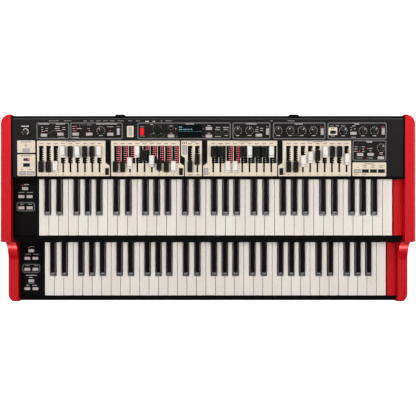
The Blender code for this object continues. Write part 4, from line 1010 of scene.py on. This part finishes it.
# Rows of words: their height, their ink, and (x, y, length) of each, in mm on the panel
WORDS = (
    (3.1, 0, (
        (-388, 131.4, 26), (-348.9, 131.4, 22), (-238.9, 131.4, 50), (-42.6, 131.4, 19.5),
        (102.4, 131.4, 25.5), (214.9, 131.4, 20), (352, 131.4, 12), (382.5, 88.6, 14), (-432.4, 125.6, 18),
        (-143.9, 136.9, 8), (-127.7, 136.9, 7),
    )),
    (1.7, 1, (
        (-364.7, 138.3, 24), (-331.9, 138.3, 18), (-290.7, 138, 9), (-274.8, 138, 9), (-259, 138.3, 10),
        (-242.7, 138.3, 12), (-226.6, 138.3, 10), (-206.1, 138.3, 14), (-184.5, 138.3, 9), (-166, 138.3, 9),
        (-110.1, 138.3, 5), (-93, 138.3, 15), (150.4, 138.3, 7), (196.6, 138.3, 17), (-155.7, 124.4, 10),
        (-155.1, 102.3, 12), (-74.6, 101.7, 4), (-10.7, 119.9, 3), (-10.7, 101.3, 3), (140.7, 124.8, 6),
        (271.2, 123.6, 3), (415.7, 123.6, 3), (-280.7, 129, 11), (-282.6, 120, 7), (-212, 125.1, 8),
        (292.5, 126.8, 11), (319.2, 126.8, 10), (-347.4, 98.7, 17), (358.8, 50.7, 15),
    )),
    (1.5, 0, (
        (-132.9, 129.8, 6), (-128.5, 109, 4), (-120.2, 109, 6), (-112.5, 109, 3), (-87.6, 126.8, 7),
        (-87.6, 109, 6), (2.4, 126.8, 7), (2.4, 109, 7), (24.3, 122.9, 9.5), (22.7, 118.2, 11),
        (42.6, 122.9, 15), (42.6, 118.2, 11), (23.7, 101.3, 14), (43.2, 103.5, 8), (117.2, 123.3, 6),
        (127.3, 120.5, 7), (115.5, 117.9, 7), (127.3, 115.6, 7), (115.5, 113.2, 8), (306.1, 126.8, 8),
        (296.1, 102.6, 9.5), (345.2, 126.2, 8), (339.3, 122.4, 3), (347.2, 119.3, 4), (338.7, 117, 4),
        (344.6, 99.6, 11), (351.1, 77.1, 8), (350.5, 71.7, 7), (350.5, 66.1, 8.5), (368.3, 77.1, 7),
        (367.7, 71.7, 5), (368.1, 66.1, 5.5), (385.1, 72.9, 9), (384.9, 67.6, 6), (385.5, 50.4, 9),
        (411.2, 59.3, 4), (-392.6, 122.9, 5), (-392.4, 118, 3.5), (-392.2, 113.3, 3), (-381.7, 120.5, 6),
        (-381.7, 115.4, 6), (-355.9, 125.1, 10), (-356.6, 120.3, 12), (-355.3, 115.4, 9),
        (-341.3, 122.5, 8), (-341.3, 117.6, 8), (-318, 125.1, 5), (-318, 120, 5), (-317, 115, 3),
        (-303.6, 120, 11), (-312.7, 99.1, 16), (-231, 124.4, 14),
    )),
)
PLATE_WORDS = (
    (1.9, 0, (
        (-430.5, 88.6, 26), (-430.5, 55.6, 26), (382, 36.6, 24), (-34, 88.9, 12), (-42, 10.4, 12),
        (-24, 10.4, 9),
    )),
    (1.6, 0, (
        (-441, 23, 6), (-422, 23, 6), (355.6, 28.3, 4), (373, 28.3, 7), (391.4, 28.3, 7), (411, 28.3, 8),
        (371.9, 32.6, 10), (391.4, 32.6, 9), (411, 32.6, 12), (352.3, 12, 8), (370, 11.6, 11), (-53, 59.9, 7),
    )),
)
# Words on the left blocks: (x, y, length, ink), in mm from each block's middle and its keys' front
BLOCK_WORDS = {
    "upper": (
        (2, 121.6, 12, 0), (-10, 102.7, 15, 1), (10.5, 102.7, 15, 1), (-8, 74.6, 9, 1), (11, 74.6, 9, 1),
    ),
    "lower": (
        (1.2, 120.8, 11, 1), (-9.7, 101.8, 14, 1), (10.6, 101.8, 14, 1), (-10.2, 73.9, 10, 1),
        (10.1, 73.9, 9, 1), (-1, 50, 26, 0), (-2.7, 44.7, 9, 0), (-1, 30.5, 14, 1), (-9.8, 25, 7, 0),
        (6.6, 25, 11, 0),
    ),
}
BLOCK_OUTLINES = {"upper": (0.2, 68.6), "lower": (-1.4, 67.3)}
# The two ends of the brackets over some bars of a plate, then small marks (x, y, width, length) and dots
BRACKETS = ((-346.8, -302.5), (236.9, 281.3))
PLATE_MARKS = (
    (-59.8, 86, 2.8, 3.2), (-55.7, 86, 2.8, 3.2), (-51, 86, 2.8, 3.2), (-431.2, 83, 2.8, 1.6),
    (-434, 80.3, 2, 1.2), (-428.4, 80.3, 2, 1.2), (-431.2, 77.7, 2.8, 1.6), (292.5, 120.3, 3, 2),
    (297.3, 120.3, 3, 2),
)
PLATE_DOTS = ((-247.7, 13.3), (-72.2, 13.3), (3, 13.3), (181, 12.9))


def printed_arc(bm, outer, inner, start, end, steps, look, place):
    outline = arc(outer, start, end, steps) + arc(inner, end, start, steps)
    perforated(bm, outline, [], WORD_INK, look, place)


def make_white_words():
    bm = bmesh.new()
    word_rows(bm, WORDS)
    for x, y, _ in (*KNOBS, FRAME_KNOB):
        word(bm, x, y - 11.6, 8.5, 1.8)
        printed_arc(bm, 9.1, 8.4, 232, -52, 24, 2, on_panel(x, y))
        for i in range(11):
            slab(bm, (8.7, 10.3, -0.45, 0.45), MARK_INK, 0, on_panel(x, y) @ rotated(225 - 27 * i))
    place = on_panel(*VOLUME_KNOB)
    printed_arc(bm, 8, 6, 115, -62, 24, 0, place)
    printed_arc(bm, 8.4, 7.4, 170, 240, 12, 1, place)
    for name, words in BLOCK_WORDS.items():
        for x, y, length, look in words:
            word(bm, 0, 0, length, 1.8, look, block_top(name, x, y))
        ring = round_rectangle(43.5, 21.6, 5.5, 5)
        eye = round_rectangle(39.5, 17.6, 3.5, 5)
        perforated(bm, ring, [eye], MARK_INK, 2, block_top(name, *BLOCK_OUTLINES[name]))
    make("white_words", bm, "panel_black", "printed_white_ink printed_light_grey_ink printed_grey_ink")


def make_black_words():
    """Words and small marks on the plates."""
    bm = bmesh.new()
    on_plate = on_panel(0, 0, PLATE_TOP)
    for name, (middle, bars) in SETS.items():
        for x in bar_columns(name):
            word(bm, x, 84.9, 9.5, 1.6, 0, on_plate)
            word(bm, x, 82.4, 1.6, 1.2, 0, on_plate)
            word(bm, x, 10.7, 2.6, 1.6, 0, on_plate)
        if len(bars) == 9:
            word(bm, column(middle) + 4, 88.9, 28, 1.2, 0, on_plate)
    word_rows(bm, PLATE_WORDS, on_plate)
    for low, high in BRACKETS:
        for end, way in ((low, 1), (high, -1)):
            line(bm, [(end, 86), (end, 89.4), (end + 1.6 * way, 90.2), (end + 7 * way, 90.2)], 1, on_plate)
        word(bm, (low + high) / 2, 89.4, 24, 1.4, 0, on_plate)
    low, high = MARK_INK
    for x, y, width, length in PLATE_MARKS:
        moulding(bm, (width, length), 0.4, [(0, low), (0, high)], 0, on_plate @ at(x, y), 2)
    for x, y in PLATE_DOTS:
        turned(bm, ((1.1, low), (1.1, high)), 12, 0, on_plate @ at(x, y))
    make("black_words", bm, "panel_black", "printed_black_ink printed_grey_ink")


# Drawbars


def drawbar_mesh(x, rear, white):
    """A drawbar: the foot that slides in the frame, the stem in its slot, and the cap; a white cap has a line
    of painted shade.
    """
    bm = bmesh.new()
    under = PANEL_UNDERSIDE
    place = on_panel(x, rear - STEM_SETBACK - STEM_LENGTH / 2)
    levels = [(0.4, ABOVE_BOARD), (0, ABOVE_BOARD + 0.4), (0, under - 0.4), (0.4, under)]
    moulding(bm, (SLIDER_WIDTH, STEM_LENGTH + 4), 1.2, levels, 0, place)
    moulding(bm, (STEM_WIDTH, STEM_LENGTH), 0.5, [(0, under - 0.2), (0, CAP_LIFT + 0.3)], 0, place)
    rings = []
    for width, back, front, corner, height in WHITE_CAP if white else DARK_CAP:
        outline = round_rectangle(width, back - front, corner, 5)
        if not white:
            outline = barrelled(outline, (back - front) / 2)
        middle = rear + (back + front) / 2
        rings.append([(a + x, b + middle, CAP_LIFT + height) for a, b in outline])
    skin(bm, rings, 0, PANEL)
    if white:
        # Painted shade: a grey line across a white cap where its top meets its front slope
        painted_edge_shade = (x - 4.9, x + 4.9, rear - 22.7, rear - 21.7)
        slab(bm, painted_edge_shade, (CAP_LIFT + 12.5, CAP_LIFT + 12.96), 1)
    return bm


def barrelled(outline, reach):
    """Narrows an outline towards both of its ends."""
    return [(x * (1 - 0.14 * (y / reach) ** 4), y) for x, y in outline]


def make_drawbars():
    for name, (_, bars) in SETS.items():
        for index, (x, setting) in enumerate(zip(bar_columns(name), bars)):
            white = len(bars) == 9 and index in WHITE_IN_SET
            bm = drawbar_mesh(x, SLOT_REAR - SLOT_END_CLEARANCE - setting * DRAWBAR_STEP, white)
            slot = "drawbar_white" if white else "drawbar_dark"
            looks = "moulded_white_urea printed_grey_ink" if white else "satin_dark_nylon"
            body, node = "body", "drawbar_frame"
            if name == "second_set":
                body = node = f"drawbar_{index + 1}"
            make(f"{name}_bar_{index + 1}", bm, slot, looks, body, node, 60)
    bm = bmesh.new()
    for y_low, y_high, heights in (
        (FRAME_FRONT, FRAME_REAR, BOARD_HEIGHTS),
        (FRAME_FRONT, FRAME_FRONT + 2, POST_HEIGHTS),
        (FRAME_REAR - 2, FRAME_REAR, POST_HEIGHTS),
    ):
        slab(bm, (BOARD_LEFT, BOARD_RIGHT, y_low, y_high), heights)
    ease(bm, 0.3, 1)
    make("drawbar_tray", bm, "frame_grey", "eroded_black_abs", replaced="drawbar_frame")


# Knobs and buttons


def knob(name, x, y, size, pointer, body="body", node="", under=BOARD_TOP):
    """A knob with a skirt, a fluted grip, a dished top, and an inlaid pointer or a finger's hollow."""
    radius, height = size
    top = height - 0.1
    profile = [
        (0, under),
        (3, under),
        (3, 0.6),
        (radius - 0.4, 0.6),
        (radius, 1),
        (radius, 1.8),
        (radius - 0.5, 2.4),
        (radius * 0.9, 2.8, True),
        (radius * 0.87, height - 1.2, True),
        (radius * 0.83, height - 0.35),
        (radius * 0.76, top),
        (0, top),
    ]
    bm = bmesh.new()
    turned(bm, profile, 48, 0, on_panel(x, y), 16, 0.45)
    if pointer is None:
        hollow = ((4.9, -0.4), (4.9, 0), (4.4, 0.1), (3, -0.1), (0, -0.3))
        turned(bm, hollow, 24, 2, on_panel(x - 0.5, y + 6.4, top))
    else:
        dish = ((radius * 0.74, height - 0.5), (radius * 0.72, height), (0, top))
        turned(bm, dish, 32, 2, on_panel(x, y))
        place = on_panel(x, y, height - 0.05) @ rotated(pointer - 90) @ at(0, radius * 0.68)
        moulding(bm, (1.9, radius * 0.56), 0.5, eased(-0.4, 0.25, 0.2, 2), 1, place)
    # The brown of look 2, on the dished top and in the finger's hollow, is a painted reflection of warm light
    looks = "satin_dark_nylon printed_white_ink worn_brown_phenolic"
    make(name, bm, "drawbar_dark", looks, body, node, 35)


def make_knobs():
    for number, (x, y, pointer) in enumerate(KNOBS, 1):
        knob(f"control_knob_{number}", x, y, KNOB_SIZE, pointer, node="control_board")
    x, y, pointer = FRAME_KNOB
    knob("reverb_knob", x, y, KNOB_SIZE, pointer, node="drawbar_frame")
    knob("level_knob", *VOLUME_KNOB, VOLUME_KNOB_SIZE, 112, "volume_knob", "volume_knob", ABOVE_BOARD)
    knob("program_dial", *VALUE_DIAL, VALUE_DIAL_SIZE, None, "value_dial", "value_dial", ABOVE_BOARD)


def make_buttons():
    buttons = [("control_board", *button) for button in CONTROL_BUTTONS]
    buttons += [("drawbar_frame", *button) for button in FRAME_BUTTONS]
    for number, (node, slot, size, place) in enumerate(buttons, 1):
        name = f"panel_button_{number}"
        if place == RAISED_OVAL:
            soft_button(name, RAISED_OVAL_SIZE, slot, on_panel(*place), "body", node, 0.4, 2, 2.8)
        else:
            corner = 3 if size == OVAL else 1.2
            soft_button(name, size, slot, on_panel(*place), "body", node, corner=corner)


def make_control_board():
    """The board under the controls, with the posts that carry it."""
    rear = CONTROL_FRONT + CONTROL_ZONE
    bm = bmesh.new()
    slab(bm, (BOARD_LEFT, BOARD_RIGHT, CONTROL_FRONT, rear), BOARD_HEIGHTS)
    for i in range(5):
        x = BOARD_LEFT + (BOARD_RIGHT - BOARD_LEFT - POST) * i / 4
        for y in (CONTROL_FRONT, rear - POST):
            slab(bm, (x, x + POST, y, y + POST), POST_HEIGHTS, 1)
    looks = "masked_laminate eroded_grey_abs"
    make("control_board_sheet", bm, "board_green", looks, replaced="control_board")


def make_red_button():
    bm = bmesh.new()
    place = on_panel(*RED_BUTTON)
    moulding(bm, (ROCKER[0] + 2.4, ROCKER[1] + 2.4), 1, [(0, -4.5), (0, -3.3)], 0, place)
    moulding(bm, ROCKER, 1.2, eased(-3.4, BUTTON_RISE, 0.7) + [(1.6, BUTTON_RISE - 0.1)], 0, place, 4)
    make("red_push_button", bm, "button_red", body="red_button", replaced="red_button")


def make_rockers():
    """A rocker is a round bar on its side with a shallow valley across its top."""
    on_top = on_panel(*ROTARY_ROCKER)
    in_rear = at(column(POWER_SWITCH), REAR_Y, JACK_Z) @ rotated(-96, "X")
    for name, node, slot, place, (width, length), proud, depth in (
        ("rotor_rocker", "rotary_rocker", "button_grey", on_top, ROTARY_ROCKER_SIZE, 2.4, 5),
        ("mains_rocker", "power_switch", "black_plastic", in_rear, MAINS_ROCKER_SIZE, 3, 6),
    ):
        radius = length / 2
        top = math.degrees(math.asin(proud / radius))
        low = math.degrees(math.asin(depth / radius))
        valley = [(0.5, proud * 0.48), (-0.5, proud * 0.48)]
        outline = arc(radius, -low, top, 5) + valley + arc(radius, 180 - top, 180 + low, 5)
        bm = bmesh.new()
        prism(bm, outline, -width / 2, width / 2, True)
        ease(bm, 0.5, 2, 35, lambda middle: middle.z > 0)
        bm.transform(place)
        make(name, bm, slot, body=node, replaced=node)


# Lamps and display


# Places in mm on the panel, from its front edge
RED_LAMPS = (
    (-387.6, 113.1), (-348.4, 115.3), (-312.4, 125.3), (-312.4, 120.3), (-312.4, 115.1), (-280.6, 115.2),
    (-230.9, 115.2), (267, 123.8), (411.4, 123.6), (358.6, 66.8), (377.8, 72.7), (377.8, 50.9), (406.4, 59.4),
)
PLATE_LAMPS = (
    (351.5, 28.4), (367.1, 28.4), (386.3, 28.4), (405, 28.4), (347.2, 11.8), (-445.8, 23), (-427, 23),
    (-171.5, 88.8), (-129.6, 88.8), (59.9, 88.8), (101.6, 88.8),
)
AMBER_LAMP = (-76.3, 119.4)
# Lamps on the left blocks: (x, y) on the case, the manual and the lens
BLOCK_LAMPS = ((-444.3, 55, "upper", 0), (-444.3, -96.7, "lower", 0), (-447, -189.5, "lower", 2))
DOME = ((1.05, -0.3), (1.05, 0.2), (0.9, 0.45), (0.5, 0.7), (0, 0.8))


def make_lamps():
    bm = bmesh.new()
    for x, y in RED_LAMPS:
        turned(bm, DOME, 12, 0, on_panel(x, y))
    for x, y in PLATE_LAMPS:
        turned(bm, DOME, 12, 0, on_panel(x, y, 0.3))
    turned(bm, DOME, 12, 1, on_panel(*AMBER_LAMP))
    for x, y, name, look in BLOCK_LAMPS:
        turned(bm, DOME, 12, look, at(x, y, LEVELS[name] + BLOCK_RISE))
    make("indicator_lamps", bm, "button_red", "lit_red_lens lit_amber_lens lit_green_lens", smooth=60)

    bm = bmesh.new()
    for name in LADDER_SETS:
        for x, setting in zip(bar_columns(name), SETS[name][1]):
            for i in range(DRAWBAR_STEPS):
                y = SLOT_REAR - 3 - LADDER_PITCH * i
                lamp = eased(0, 0.5, 0.3, 2)
                moulding(bm, (4, 2.2), 0.7, lamp, 0 if i < setting else 1, on_panel(x + 8.5, y))
                moulding(bm, (2.2, 1.6), 0.3, [(0, 0.02), (0, 0.2)], 2, on_panel(x + 3.7, y), 1)
    make("lamp_ladders", bm, "button_red", "lit_red_lens unlit_lens printed_green_grey_ink", smooth=60)

    bm = bmesh.new()
    moulding(bm, (14.4, 7), 0.8, eased(0.02, 0.8, 0.3, 2), 0, on_panel(-430, 46.7))
    for x, look in ((-434.6, 1), (-430, 1), (-425.4, 2)):
        moulding(bm, (3.2, 3.6), 0.4, eased(0.6, 1, 0.2, 2), look, on_panel(x, 47.2))
    make("transpose_lamps", bm, "glass_dark", "eroded_grey_abs unlit_lens lit_red_lens")


def make_display():
    """A smoked window with two rows of blank cells and a thin line between them."""
    x, y = DISPLAY
    bm = bmesh.new()
    moulding(bm, DISPLAY_SIZE, 1, eased(ABOVE_BOARD, DISPLAY_CELL[0], 0.4, 2), 0, on_panel(x, y))
    for row, lengths in ((10, (9,)), (4.2, (8, 16, 4))):
        left = x - 26
        for length in lengths:
            for i in range(round(length / 2)):
                cell = (left + 2 * i, left + 2 * i + 1.1, y + row - 1.2, y + row + 1.2)
                slab(bm, cell, DISPLAY_CELL, 1)
            left += length + 2
    slab(bm, (x - 26.5, x + 26.5, y - 0.5, y - 0.25), DISPLAY_CELL, 1)
    make("display_glass", bm, "glass_dark", "smoked_acrylic lit_display_cells", replaced="display_window")


# Rear and underside


def make_rear_wall():
    """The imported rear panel's own form with its edges eased."""
    bm = bmesh.new()
    bm.from_mesh(frame["nodes"]["rear_panel"].data)
    bm.transform(Matrix.Scale(1 / MM, 4))
    bmesh.ops.remove_doubles(bm, verts=bm.verts, dist=0.005)
    bmesh.ops.dissolve_limit(bm, angle_limit=math.radians(1), verts=bm.verts, edges=bm.edges)
    ease(bm, 0.4, 1, 50)
    make("rear_wall", bm, "black_plastic", replaced="rear_panel")


def make_fittings():
    """What shows in the rear wall: the jacks' washers and nuts, the inlet's pins and rivets, and screws."""
    dress("main_board", "masked_laminate moulded_black_abs")
    dress("power_inlet", "moulded_black_abs")
    dress("power_supply", "folded_steel")
    facing = rotated(-90, "X")
    bore = circle(4.65, 24)
    for number, x in enumerate(JACKS, 1):
        bm = bmesh.new()
        place = at(column(x), REAR_Y, JACK_Z) @ facing
        perforated(bm, circle(8.4, 30), [bore], (0.02, 0.7), 0, place)
        perforated(bm, filleted(circle(7.4, 6), 0.8, 2), [bore], (0.72, 2.6), 0, place)
        ease(bm, 0.2, 1, 60)
        make(f"jack_nut_{number}", bm, "steel", "nickel_plated_brass")
    x = column(POWER_INLET)
    bm = bmesh.new()
    for dx, dz in ((-7, -2), (7, -2), (0, 3)):
        place = at(x + dx, REAR_Y - 13, JACK_Z + dz) @ facing
        moulding(bm, (2, 4), 0.3, eased(-0.5, 9, 0.5, 2), 0, place, 2)
    for dx in (-15.8, 15.8):
        place = at(x + dx, REAR_Y + 2.2, JACK_Z) @ facing
        turned(bm, ((2.2, 0), (2.2, 0.3), (1.4, 0.9), (0, 1)), 16, 0, place)
    make("inlet_pins", bm, "steel", "nickel_plated_brass")
    bm = bmesh.new()
    for i in range(9):
        for z in (18, 160):
            place = at(-440 + 110 * i, REAR_Y, z) @ facing
            turned(bm, ((3, -0.2), (3, 0.4), (2.2, 1), (0, 1.3)), 16, 0, place)
    make("rear_screws", bm, "steel", "nickel_plated_brass")


def make_underside():
    bm = bmesh.new()
    for i in range(7):
        for y in (-215, 0, 200):
            place = at(-420 + 140 * i, y, CASE_BOTTOM) @ rotated(180, "X")
            turned(bm, ((3.4, -0.5), (3.4, 0.2), (2.4, 0.8), (0, 1)), 16, 0, place)
    make("board_screws", bm, "steel", "nickel_plated_brass")
    for end in ("front", "rear"):
        for side in ("left", "right"):
            node = f"foot_{end}_{side}"
            low, high = cad_box(node)
            bm = bmesh.new()
            profile = (*FOOT_PROFILE, (12, high.z), (0, high.z))
            turned(bm, profile, 40, 0, at((low.x + high.x) / 2, (low.y + high.y) / 2))
            make(f"{node}_pad", bm, "rubber", replaced=node, smooth=40)


# Stage


PAPER_FIBRE = 1000 / 60
FLOOR_REACH = 6
ROOM_COLOUR = "FFE4CC"


def make_floor(glow):
    """A sheet of white paper that gives some light of itself, so that it stays white in the picture."""
    paper, tree, place = new_material("matt_white_paper")
    colour = mixed(tree, linear("F4F4F4"), linear("F0F0F0"), noise(tree, place, PAPER_FIBRE, 2))
    values = {"Roughness": 0.9, "Emission Color": (1, 1, 1, 1), "Emission Strength": glow}
    surface(tree, values, {"Base Color": colour})
    bm = bmesh.new()
    bmesh.ops.create_grid(bm, x_segments=4, y_segments=4, size=FLOOR_REACH)
    mesh = mesh_of("floor", bm)
    mesh.materials.append(paper)
    floor = add_object("floor", mesh)
    floor.visible_glossy = False


# Each light: its place and size in metres, its share of the lamp power, and whether surfaces only mirror it.
# The others only light the surfaces and aren't mirrored in them
LIGHTS = {
    "side_light_left": ((-0.9, -0.05, 2.5), (1.4, 1.4), 0.645, False),
    "side_light_right": ((0.9, -0.05, 2.5), (1.4, 1.4), 0.645, False),
    "front_light": ((0, -2.6, 2.2), (2.6, 1.0), 0.13, False),
    "rear_light": ((0, 3.0, 1.2), (3.0, 0.8), 0.3, False),
    "low_front_light": ((0, -2.6, 0.4), (3.0, 0.5), 1.2, True),
    "low_rear_light": ((0, 2.8, 0.5), (3.0, 0.6), 1.2, True),
    "edge_light_left": ((-3.2, 0.5, 1.1), (0.8, 2.0), 0.8, True),
    "edge_light_right": ((3.2, 0.5, 1.1), (0.8, 2.0), 0.8, True),
    "sheen_light_left": ((-1.9, 1.7, 2.2), (1.0, 1.0), 2.5, True),
    "sheen_light_right": ((1.9, 1.7, 2.2), (1.0, 1.0), 2.5, True),
}
LIGHTS_AIM = Vector((0, 0, 0.1))
CAMERA_LENS = 73.07
CAMERA_SENSOR = 36
CAMERA_Y = 0.0016


def make_stage(settings):
    make_floor(settings.floor_glow)
    world = bpy.data.worlds.new("studio")
    bpy.context.scene.world = world
    world.use_nodes = True
    background = world.node_tree.nodes["Background"]
    background.inputs["Color"].default_value = linear(ROOM_COLOUR)
    background.inputs["Strength"].default_value = settings.room_light
    for name, (place, size, share, glossy) in LIGHTS.items():
        data = bpy.data.lights.new(name, "AREA")
        data.shape = "RECTANGLE"
        data.size, data.size_y = size
        data.energy = share * settings.lamp_power
        lamp = add_object(name, data)
        lamp.location = place
        lamp.visible_glossy = glossy
        lamp.visible_diffuse = not glossy
        lamp.rotation_euler = (LIGHTS_AIM - Vector(place)).to_track_quat("-Z", "Y").to_euler()

    data = bpy.data.cameras.new("camera")
    data.lens = CAMERA_LENS
    data.sensor_width = CAMERA_SENSOR
    camera = add_object("camera", data)
    camera.location = (0, CAMERA_Y, settings.camera_height)
    bpy.context.scene.camera = camera
    bpy.context.scene.view_settings.view_transform = "Standard"


# Settings, operators and the sidebar


def length_setting(name, description, default, low, high):
    about = {"name": name, "description": description, "subtype": "DISTANCE", "unit": "LENGTH"}
    return bpy.props.FloatProperty(**about, default=default, min=low, max=high)


def strength_setting(name, description, default, high):
    return bpy.props.FloatProperty(name=name, description=description, default=default, min=0, max=high)


class OrganCaseSettings(bpy.types.PropertyGroup):
    cheek_edge: length_setting("Cheek edge", "Radius of the cheeks' outer edges", 4 * MM, 1 * MM, 6 * MM)
    cheek_corner: length_setting(
        "Cheek corner", "Radius of the cheeks' outer corners, seen from above", 22 * MM, 8 * MM, 23 * MM
    )


class OrganKeySettings(bpy.types.PropertyGroup):
    key_edge: length_setting("Key edge", "Radius of the naturals' edges", 0.5 * MM, 0.2 * MM, 1 * MM)


class OrganStudioSettings(bpy.types.PropertyGroup):
    camera_height: length_setting("Camera height", "Height of the camera above the floor", 2.1739, 1, 5)
    floor_glow: strength_setting("Floor glow", "Light that the white floor gives of itself", 0.8, 2)
    room_light: strength_setting("Room light", "Strength of the light from all round", 0.05, 3)
    lamp_power: bpy.props.FloatProperty(
        name="Lamp power",
        description="Power that each light takes its share of",
        default=50,
        min=0,
        max=500,
        subtype="POWER",
        unit="POWER",
    )


class ORGAN_OT_cheeks(bpy.types.Operator):
    """Make both lacquered cheeks"""

    bl_idname = "organ.cheeks"
    bl_label = "Cheeks"

    def execute(self, context):
        make_cheeks(context.scene.organ_case)
        return {"FINISHED"}


class ORGAN_OT_case(bpy.types.Operator):
    """Make the front rails, the boards and the end blocks with their buttons"""

    bl_idname = "organ.case"
    bl_label = "Rails, boards and end blocks"

    def execute(self, context):
        make_rails()
        make_boards()
        make_end_blocks()
        return {"FINISHED"}


class ORGAN_OT_manuals(bpy.types.Operator):
    """Make every key of both manuals"""

    bl_idname = "organ.manuals"
    bl_label = "Manuals"

    def execute(self, context):
        make_manuals(context.scene.organ_keys)
        return {"FINISHED"}


class ORGAN_OT_panel(bpy.types.Operator):
    """Dress the control panel with its plates, outlines, insets and printed marks"""

    bl_idname = "organ.panel"
    bl_label = "Control panel"

    def execute(self, context):
        dress("control_panel", "powder_coated_steel")
        make_plates()
        make_outlines()
        make_wells()
        make_white_words()
        make_black_words()
        return {"FINISHED"}


class ORGAN_OT_drawbars(bpy.types.Operator):
    """Make the drawbars and the tray that they run in"""

    bl_idname = "organ.drawbars"
    bl_label = "Drawbars"

    def execute(self, context):
        make_drawbars()
        return {"FINISHED"}


class ORGAN_OT_controls(bpy.types.Operator):
    """Make the knobs, buttons and rockers, and the board under them"""

    bl_idname = "organ.controls"
    bl_label = "Knobs and buttons"

    def execute(self, context):
        make_knobs()
        make_buttons()
        make_control_board()
        make_red_button()
        make_rockers()
        return {"FINISHED"}


class ORGAN_OT_lamps(bpy.types.Operator):
    """Make the indicator lamps, the lamp ladders and the display"""

    bl_idname = "organ.lamps"
    bl_label = "Lamps and display"

    def execute(self, context):
        make_lamps()
        make_display()
        return {"FINISHED"}


class ORGAN_OT_rear(bpy.types.Operator):
    """Make the rear wall, its fittings, the feet and the screws"""

    bl_idname = "organ.rear"
    bl_label = "Rear and underside"

    def execute(self, context):
        make_rear_wall()
        make_fittings()
        make_underside()
        return {"FINISHED"}


class ORGAN_OT_stage(bpy.types.Operator):
    """Set the floor, the lights and the camera"""

    bl_idname = "organ.stage"
    bl_label = "Stage"

    def execute(self, context):
        make_stage(context.scene.organ_studio)
        return {"FINISHED"}


OPERATORS = (
    ORGAN_OT_cheeks,
    ORGAN_OT_case,
    ORGAN_OT_manuals,
    ORGAN_OT_panel,
    ORGAN_OT_drawbars,
    ORGAN_OT_controls,
    ORGAN_OT_lamps,
    ORGAN_OT_rear,
    ORGAN_OT_stage,
)


class ORGAN_PT_sidebar(bpy.types.Panel):
    """Sizes and operators of the combo organ"""

    bl_idname = "ORGAN_PT_sidebar"
    bl_label = "Combo Organ"
    bl_space_type = "VIEW_3D"
    bl_region_type = "UI"
    bl_category = "Combo Organ"

    def draw(self, context):
        for group in SETTINGS:
            box = self.layout.box()
            for name in SETTINGS[group].__annotations__:
                box.prop(getattr(context.scene, group), name)
        for operator in OPERATORS:
            self.layout.operator(operator.bl_idname)


SETTINGS = {
    "organ_case": OrganCaseSettings,
    "organ_keys": OrganKeySettings,
    "organ_studio": OrganStudioSettings,
}


def register():
    for each in (*SETTINGS.values(), *OPERATORS, ORGAN_PT_sidebar):
        bpy.utils.register_class(each)
    for name, group in SETTINGS.items():
        setattr(bpy.types.Scene, name, bpy.props.PointerProperty(type=group))


def unregister():
    for name in SETTINGS:
        delattr(bpy.types.Scene, name)
    for each in reversed((*SETTINGS.values(), *OPERATORS, ORGAN_PT_sidebar)):
        bpy.utils.unregister_class(each)


def main():
    register()
    for operator in OPERATORS:
        group, name = operator.bl_idname.split(".")
        getattr(getattr(bpy.ops, group), name)()


if __name__ == "__main__":
    main()
